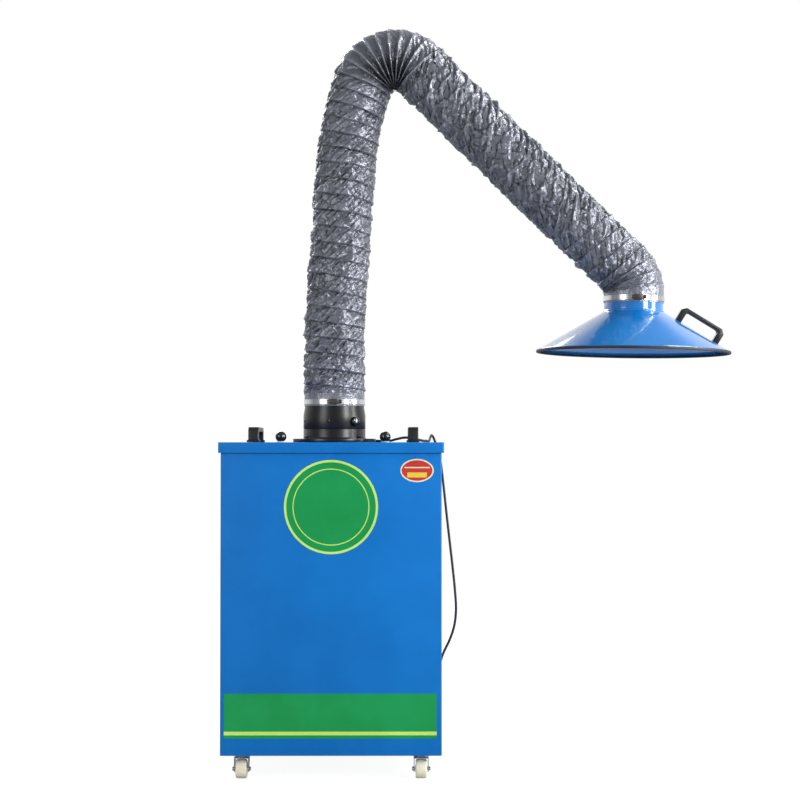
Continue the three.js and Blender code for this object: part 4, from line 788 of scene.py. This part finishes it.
# Black oxide: the screws' thin dark coat over steel, with a soft glint
black_oxide = surface(
    "black_oxide_steel", "#4A4B4F", 0.3, 1.5, 0.01, "#424347", "#55565A", Metallic=1.0)
screw_set("ring_screws", "swivel", black_oxide, 4, [
    (duct + Vector((83 * mm * math.cos(a), 83 * mm * math.sin(a), 917 * mm)),
     (math.cos(a), math.sin(a), 0))
    for a in [math.radians(-100 + 60 * k) for k in range(6)]])
lock_turn = math.radians(-48)
lock_out = Vector((math.cos(lock_turn), math.sin(lock_turn), 0))
swivel_lock = spun("swivel_lock", [
    (0, 0), (9, 0), (9, 3), (12.4, 3.6), (13, 5), (12.6, 8), (11, 9.6), (6, 10.4), (0, 10.6)], 40,
    duct + Vector((82.4 * mm * lock_out.x, 82.4 * mm * lock_out.y, 915 * mm)), lock_out)
fit(coat(ease(swivel_lock, 0.4, 2, 50), phenolic), "swivel", "knob_plastic")

# Hose: PVC coated polyester over a spring steel helix. The cloth is flat where it is stretched, folds in
# between the turns where it is bent, and its coating breaks into small sharp creases like foil.
# Its middle line is given by straight runs and their lengths, and by arcs and their radius and degrees.
hose_foot = 957
hose_route = [
    ("run", 179, 0), ("arc", 1000, 4), ("run", 410, 0), ("arc", 800, 16), ("arc", 92, 114.4),
    ("run", 768, 0), ("arc", 100, 46.5), ("run", 22, 0),
]
hose_steps = [
    (size if kind == "run" else size * math.radians(turn), 0 if kind == "run" else 1 / size)
    for kind, size, turn in hose_route
]
hose_length = sum(length for length, _ in hose_steps)


def hose_at(distance):
    """The hose's middle line, in cabinet millimetres, and how far it leans from upright"""
    x, z, lean, left = 0, hose_foot, 0, distance
    for length, curve in hose_steps:
        part = min(left, length)
        if curve:
            following = lean + part * curve
            x += (math.cos(lean) - math.cos(following)) / curve
            z += (math.sin(following) - math.sin(lean)) / curve
            lean = following
        else:
            x += part * math.sin(lean)
            z += part * math.cos(lean)
        left -= part
        if left <= 0:
            break
    return x, z, lean


# The wire's turns crowd together where the hose bends, so that the outer side keeps its spacing
sample = 1.8
ring_count = round(hose_length / sample)
ring_step = hose_length / ring_count
bends, at_length = [], 0
for length, curve in hose_steps:
    bends.append((at_length, at_length + length, curve))
    at_length += length


def bend_at(distance):
    """The middle line's curve at one distance along it, as a mean over a short reach"""
    reach = 34
    total = sum(
        curve * max(0, min(distance + reach, end) - max(distance - reach, start))
        for start, end, curve in bends)
    return total / (2 * reach)


wire_pitch = 43.06
crowding = 105
hose_bends = [bend_at(i * ring_step) for i in range(ring_count + 1)]
hose_turns = [0]
for bend in hose_bends[1:]:
    hose_turns.append(hose_turns[-1] + ring_step * (1 + crowding * bend) / wire_pitch)

# Sizes of the cloth in millimetres, at large and where it is clamped on a spigot
hose_round = 208
cloth_radius = 84
hose_radius = 83.6
seat_radius = 80.8
seat_reach = 20
seat_fade = 20
seat_guard = 36
wire_height = 0.9
hose_wall = 0.8
lining_gap = 4.5
# A bend of this radius is pleated in full, that at the wrist less, from here to here along the hose
full_bend = 92
pleat_depth = 14
wrist_reach = (1500, 1700)
# The cloth gets loose and crushed over the first of these turns of the wire, and firm over the last
loose_turns = (20, 27)
firm_turns = (43, 46)
# Folds: how many lie round the hose, how far they slant in one turn, and how high they stand
long_count = 34
long_slant = -5.2
long_height = 4.4
short_count = 40
short_slant = 3
short_height = 1.6
line_count = 30
fine_count = 76
fine_height = 0.8


def ramp(value, low, high):
    """A smooth rise from 0 to 1 between two values"""
    t = min(1, max(0, (value - low) / (high - low)))
    return t * t * (3 - 2 * t)


def hump(value, width):
    """A bell of height 1 about zero"""
    return math.exp(-(value / width) ** 2)


def facet(across, along, round_count, along_count, seed):
    """Height, from -1 to 1, of cloth creased into flat triangles between the points of a slanted net"""
    i, j = math.floor(across), math.floor(along)
    a, b = across - i, along - j

    def corner(column, row):
        wraps = column // round_count
        return 2 * noise.cell(Vector((
            column - wraps * round_count + 0.5, row - wraps * along_count + 0.5, seed))) - 1

    if a + b < 1:
        return corner(i, j) * (1 - a - b) + corner(i + 1, j) * a + corner(i, j + 1) * b
    return corner(i + 1, j + 1) * (a + b - 1) + corner(i, j + 1) * (1 - a) + corner(i + 1, j) * (1 - b)


def crease(across, along, round_count, along_count, seed):
    """How near a sharp crease through a square of an upright net is, and its lit edge, from 0 to 1"""
    i, j = math.floor(across), math.floor(along)
    a, b = across - i, along - j
    wraps = i // round_count
    kind = noise.cell(Vector((i - wraps * round_count + 0.5, j - wraps * along_count + 0.5, seed)))
    if kind > 0.42:
        return 0, 0
    gap = a - b if kind < 0.3 else a + b - 1
    fade = 4 * math.sqrt(a * (1 - a) * b * (1 - b))
    return fade * hump(gap, 0.12), fade * hump(gap - 0.3, 0.14)


def hose_skin(ring, side):
    """At one place round one ring: the cloth's radius, its lining's, and its painted light, from -1 to 1:
    painted shade above 0, painted highlight below 0
    """
    distance = ring * ring_step
    to_end = min(distance, hose_length - distance)
    around = side / hose_round
    angle = 2 * math.pi * around
    spot = Vector((cloth_radius * math.cos(angle), cloth_radius * math.sin(angle), distance))
    free = ramp(to_end, seat_reach, seat_reach + seat_fade)

    # In a bend the cloth is pleated, the deeper the nearer to the inner line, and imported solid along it
    bend = min(1, hose_bends[ring] * full_bend) * (1 - 0.6 * ramp(distance, *wrist_reach))
    inner = (1 + math.cos(angle)) / 2
    pinched = bend * inner ** 0.5
    bunched = 1 - 0.85 * ramp(inner, 0.84, 0.98)
    pleat = pleat_depth * bend

    # Between two turns of the wire it sags, and it tucks in just before the second
    turns = hose_turns[ring]
    turn = turns + around
    t = (turn + 0.05 * noise.noise(spot / 25 + Vector((9, 4, 1)))) % 1
    from_wire = min(t, 1 - t)
    slack = 0.5 + noise.noise(spot / 60)
    depth = 2.2 + 2.6 * slack + pleat * inner ** 0.8 * bunched
    tuck = hump(t - 0.9, 0.055)
    sag = ramp(t, 0.02, 0.8) * (1 - ramp(t, 0.86, 0.98))
    ridge = hump(from_wire, 0.17)
    crushed = ramp(turns, *loose_turns) * (1 - ramp(turns, *firm_turns))
    sunk = (0.4 * sag + 0.6 * tuck * (1 - 0.7 * crushed)) * (1 - pinched) + (1 - ridge) * pinched

    # It is creased by long slanted folds, short ones across them, fine ones, and sharp single lines
    sway = 0.5 * noise.noise(spot / 40 + Vector((3, 7, 2)))
    lively = min(1.5, 0.45 + 2.4 * abs(noise.noise(spot / 34 + Vector((1, 1, 5)))))
    loose = 0.34 + 0.3 * (1 - inner) ** 3
    loose += (1 - 0.55 * inner ** 2 - loose) * crushed
    long_folds = loose * lively * facet(
        long_count * around + long_slant * turns + sway, 2 * turn, long_count, 2, 0.5)
    short_folds = facet(
        short_count * around - short_slant * turns + sway, 3 * turn + sway, short_count, 3, 7.5)
    fine_folds = facet(
        fine_count * around + short_slant * turns, 5 * turn + 2 * sway, fine_count, 5, 11.5)
    line, lit = crease(line_count * around + sway, 2 * turn + sway, line_count, 2, 3.5)
    creases = (1 - 0.7 * bend) * (1 - pinched) * (
        long_height * long_folds + (1 - 0.6 * loose) * short_height * short_folds
        + fine_height * fine_folds + lively * (0.8 * lit - 1.5 * line))

    radius = seat_radius + free * (
        hose_radius - seat_radius + wire_height * hump(from_wire, 0.05) - depth * sunk + creases) + (
        1 - free) * 0.3 * short_folds
    if to_end < seat_guard:
        radius = max(radius, seat_radius)
    lining = seat_radius + free * (hose_radius - seat_radius - depth - lining_gap) - hose_wall
    # Painted shade in the folds' depths, the tucks and the crease lines, and painted highlights on the
    # crests, the creases' lit edges and the pleats' ridges
    shade = sunk * (0.25 + 0.07 * (depth + pleat * (1 - bunched)))
    shade += (0.4 * max(0, -long_folds) + 0.75 * line) * (1 - bend)
    painted_highlight = (max(0, long_folds - 0.25) + 0.35 * lit) * (1 - bend) + 0.8 * pinched * bunched * ridge ** 3
    calm = ramp(to_end, seat_reach, seat_reach + 3 * seat_fade)
    return radius, lining, max(-1, min(1, shade - 1.2 * painted_highlight)) * calm


def hose_ring(ring, radii):
    """The points round one ring"""
    x, z, lean = hose_at(ring * ring_step)
    points = []
    for side, radius in enumerate(radii):
        angle = 2 * math.pi * side / hose_round
        out = radius * math.cos(angle)
        points.append(place(
            x + out * math.cos(lean), radius * math.sin(angle), z - out * math.sin(lean)))
    return points


# Coated cloth: grey with a violet cast, smooth enough to glint on each crease, with painted highlights on
# the folds' crests and painted shade in their depths, with a plain weave under the coating. The threads
# are
# 0.6 mm apart and drawn at 2 mm, so that they show.
cloth, cloth_shader = finish("pvc_coated_polyester", "#7C7F8A", 0.28, Metallic=0.3, IOR=1.55)
flat_place = add(cloth, "ShaderNodeUVMap", uv_map="cloth").outputs["UV"]
threads = [
    add(cloth, "ShaderNodeTexWave", {
        "Vector": flat_place, "Scale": 0.5 / (2 * mm) / math.pi, "Distortion": 0.4, "Detail": 1.0,
    }, bands_direction=way).outputs["Fac"]
    for way in ("X", "Y")
]
weave = worked(cloth, "MULTIPLY", *threads)
cloth_spot = add(cloth, "ShaderNodeAttribute", attribute_name="rest_place").outputs["Vector"]
pucker = blotches(cloth, cloth_spot, 1 / (11 * mm), 2.0, 0.6)
cloth_relief = raised(cloth, pucker, 3, Normal=raised(cloth, weave, 0.15, 0.3))
cloth_drift = blotches(cloth, cloth_spot, 22.0, 5.0, 0.65)
cloth_clean = tinted(cloth, cloth_drift, "#62656F", "#9497A3")
# The painted shade and painted highlight from the hose's mesh: darker towards #1B1C20 in the folds, paler
# towards #C4C7D2 on the crests
painted_shade_and_highlight = add(cloth, "ShaderNodeAttribute", attribute_name="painted_shade_and_highlight").outputs["Fac"]
cloth_with_painted_shade = tinted(cloth, painted_shade_and_highlight, cloth_clean, "#1B1C20")
painted_highlight_share = worked(cloth, "MULTIPLY", painted_shade_and_highlight, -1.0)
feed(cloth, cloth_shader, Normal=cloth_relief,
     Base_Color=tinted(cloth, painted_highlight_share, cloth_with_painted_shade, "#C4C7D2"),
     Roughness=mapped(cloth, cloth_drift, 0, 1, 0.2, 0.34))


def hose_piece(name, first_ring, last_ring):
    """One length of the hose: its outside, and back along its lining in longer steps"""
    lining_step = 6
    rings, distances, shades = [], [], []
    for ring in range(first_ring, last_ring + 1):
        skins = [hose_skin(ring, side) for side in range(hose_round)]
        rings.append(hose_ring(ring, [skin[0] for skin in skins]))
        shades += [skin[2] for skin in skins]
        distances.append(ring * ring_step)
    inner_rings = sorted({*range(first_ring, last_ring, lining_step), last_ring}, reverse=True)
    for ring in inner_rings:
        rings.append(hose_ring(ring, [hose_skin(ring, side)[1] for side in range(hose_round)]))
        # The lining takes a fixed painted shade of 0.3, as the inside of the hose is in shade
        shades += [0.3] * hose_round
        distances.append(ring * ring_step)
    count = len(rings)
    faces = [
        (i * hose_round + k, i * hose_round + (k + 1) % hose_round,
         (i + 1) % count * hose_round + (k + 1) % hose_round, (i + 1) % count * hose_round + k)
        for i in range(count) for k in range(hose_round)
    ]
    piece = outline(name, [point for ring in rings for point in ring], faces=faces)
    mesh = piece.data
    rest = mesh.attributes.new("rest_place", "FLOAT_VECTOR", "POINT")
    rest.data.foreach_set("vector", [value for vertex in mesh.vertices for value in vertex.co])
    # Each point's painted shade and painted highlight, which the cloth's colour takes
    painted_light_layer = mesh.attributes.new("painted_shade_and_highlight", "FLOAT", "POINT")
    painted_light_layer.data.foreach_set("value", shades)
    flat = mesh.uv_layers.new(name="cloth")
    for face in mesh.polygons:
        ring_index, side_index = divmod(face.index, hose_round)
        for loop, (i, k) in zip(face.loop_indices, ((0, 0), (0, 1), (1, 1), (1, 0))):
            along = distances[(ring_index + i) % count]
            flat.data[loop].uv = (
                (side_index + k) * 2 * math.pi * cloth_radius * mm / hose_round, along * mm)
    open_all(piece)
    bpy.ops.mesh.normals_make_consistent(inside=False)
    mode("OBJECT")
    return coat(smooth(piece, 28), cloth)


# Each length of the hose from one rib of the CAD to another, and what it rides. The three that bend also
# list the next body and two points of the middle line; they are left in place, fixed to no body.
rib_count = 45
hose_lengths = [
    ("hose_foot_length", "hose_base", 0, 4, "swivel", "lower_arm", place(0, 0, 990), place(0, 0, 1125)),
    ("hose_lower_length", "hose_lower", 4, 17, "lower_arm"),
    ("hose_elbow_length", "hose_elbow", 17, 27, "lower_arm", "upper_arm",
     place(91.02, 0, 1875.76), place(166.22, 0, 1902.96)),
    ("hose_upper_length", "hose_upper", 27, 41, "upper_arm"),
    ("hose_hood_length", "hose_hood", 41, rib_count, "upper_arm", "hood",
     place(808, 0, 1320), place(808, 0, 1262)),
]
for name, node, first_rib, last_rib, below, *bend_of in hose_lengths:
    piece = hose_piece(
        name, round(first_rib * ring_count / rib_count), round(last_rib * ring_count / rib_count))
    if bend_of:
        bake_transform(piece)
    else:
        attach(piece, below)
    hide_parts(node)

# Hose clamps: stainless steel bands that pull the cloth onto the spigots, slotted for the worm screw in
# its pressed housing.
stainless = surface("stainless_band", "#C9CACC", 0.22, 3, 0.01, "#BDBEC0", "#D8D9DB", Metallic=1.0)
# Blackened steel: the worm's housing, dark brown-grey and satin
blackened = surface("blackened_steel", "#6A625F", 0.35, 2, 0.02, "#5C5552", "#787069", Metallic=1.0)
clamp_steps = 180
housing_out = 86.5


def hose_clamp(name, at, axis):
    """A flat band with worm slots, its housing and its screw, seated round the hose's end"""
    up = Vector(axis).normalized()
    across = Vector((0, 1, 0)).cross(up)
    ring = spun(name, [(81.1, -6.5), (82.3, -6.5), (82.3, 6.5), (81.1, 6.5)], clamp_steps, at, up,
                closed=True)

    def in_slots(centre, normal):
        out = centre - at
        angle = math.degrees(math.atan2(out.dot(across), -out.y))
        return normal.dot(out) > 0 and abs(normal.dot(up)) < 0.5 and 8 < abs(angle) < 44 and (
            round(angle / 2 + 0.5) % 2 == 0) and out.length > 80 * mm

    select(ring, in_slots)
    bpy.ops.mesh.inset(thickness=0.35 * mm, use_individual=True)
    bpy.ops.mesh.extrude_region_shrink_fatten(
        TRANSFORM_OT_shrink_fatten={"value": -0.7 * mm})
    mode("OBJECT")
    smooth(ring, 30)
    front_at = at + Vector((0, -housing_out * mm, 0))
    housing = slab(
        name + "_housing", front_at + Vector((-13, -4.5, -6.8)) * mm,
        front_at + Vector((13, 4, 6.8)) * mm)
    screw = spun(name + "_screw", [
        (0, -17), (3.2, -17), (4, -15.6), (4, 15), (5, 15), (5, 21), (3.4, 22.4), (1.2, 22.4),
        (1.2, 21), (0, 21)], 20, front_at, across)
    return joined(name, coat(ring, stainless), coat(ease(housing, 1.6, 3), blackened),
                  coat(ease(screw, 0.3), blackened))


lower_clamp = hose_clamp("lower_clamp", place(0, 0, 968), (0, 0, 1))
fit(lower_clamp, "swivel", "bright_steel", "clamp_base")
end_x, end_z, end_lean = hose_at(hose_length)
hood_lean = end_lean - math.pi
hood_up = Vector((math.sin(hood_lean), 0, math.cos(hood_lean)))
hood_at = place(end_x, 0, end_z)
upper_clamp = hose_clamp("upper_clamp", hood_at + hood_up * 11 * mm, hood_up)
fit(upper_clamp, "hood", "bright_steel", "clamp_hood")

# Hood: a spun steel cone under a short neck, welded, with a bead where they meet, sprayed a glossier
# blue than the cabinet's. Inside its neck a strap carries the tongue that the arm grips.
hood_coat = surface(
    "gloss_paint_blue", "#0A74C0", 0.16, 6, 0.03, "#0970BB", "#0C7AC8", IOR=1.52, Coat_Weight=0.8,
    Coat_Roughness=0.04)
hood = spun("fume_hood", [
    (78.35, 20), (79.85, 20), (79.85, -19.5), (81.6, -21), (82.4, -22.5), (81.9, -24), (84.5, -25.4),
    (254.5, -126), (257, -127.6), (257, -132), (255.5, -132), (255.5, -128), (252.5, -126.6),
    (83, -26.5), (78.35, -20)], 160, hood_at, hood_up, closed=True)
ease(hood, 0.6, 2, 35)
tongue_parts = []
wrist_mm = 54
for name, low, high in (
    ("hood_strap", (-ear_half, -79, 6), (ear_half, 79, 11)),
    ("hood_tongue", (-ear_half, -6, 6), (ear_half, 6, wrist_mm)),
):
    part = slab(name, Vector(low) * mm, Vector(high) * mm)
    part.rotation_euler = (0, hood_lean, 0)
    part.location = hood_at
    settle(part)
    tongue_parts.append(ease(part, 0.5))
tongue_parts.append(ease(disc(
    "hood_eye", eye_radius, -6, 6, 32, hood_at + hood_up * wrist_mm * mm, (0, 1, 0)), 0.5))
fit(coat(joined("fume_hood", hood, *tongue_parts), hood_coat), "hood", "hood_paint", "hood_shell")

# Rim trim: an extruded U of black rubber pushed over the hood's edge, so that it doesn't mark the work.
trim = spun("rim_trim", [
    (252.2, -135.3), (260.3, -135.3), (261, -133.6), (260.3, -128.3), (257.3, -128.3), (257.3, -132.3),
    (255.2, -132.3), (255.2, -129.8), (252.2, -129.8), (251.4, -132.5)], 160, hood_at, hood_up,
    closed=True)
fit(coat(ease(trim, 0.7, 2, 20), rubber), "hood", "black_rubber", "hood_trim")

# Hood handle: a broad moulded bow with cut corners, square on the cone's slope.
dressed("hood_handle", "hood_grip", 1.2, black_moulding, "hood", "black_plastic", 3)
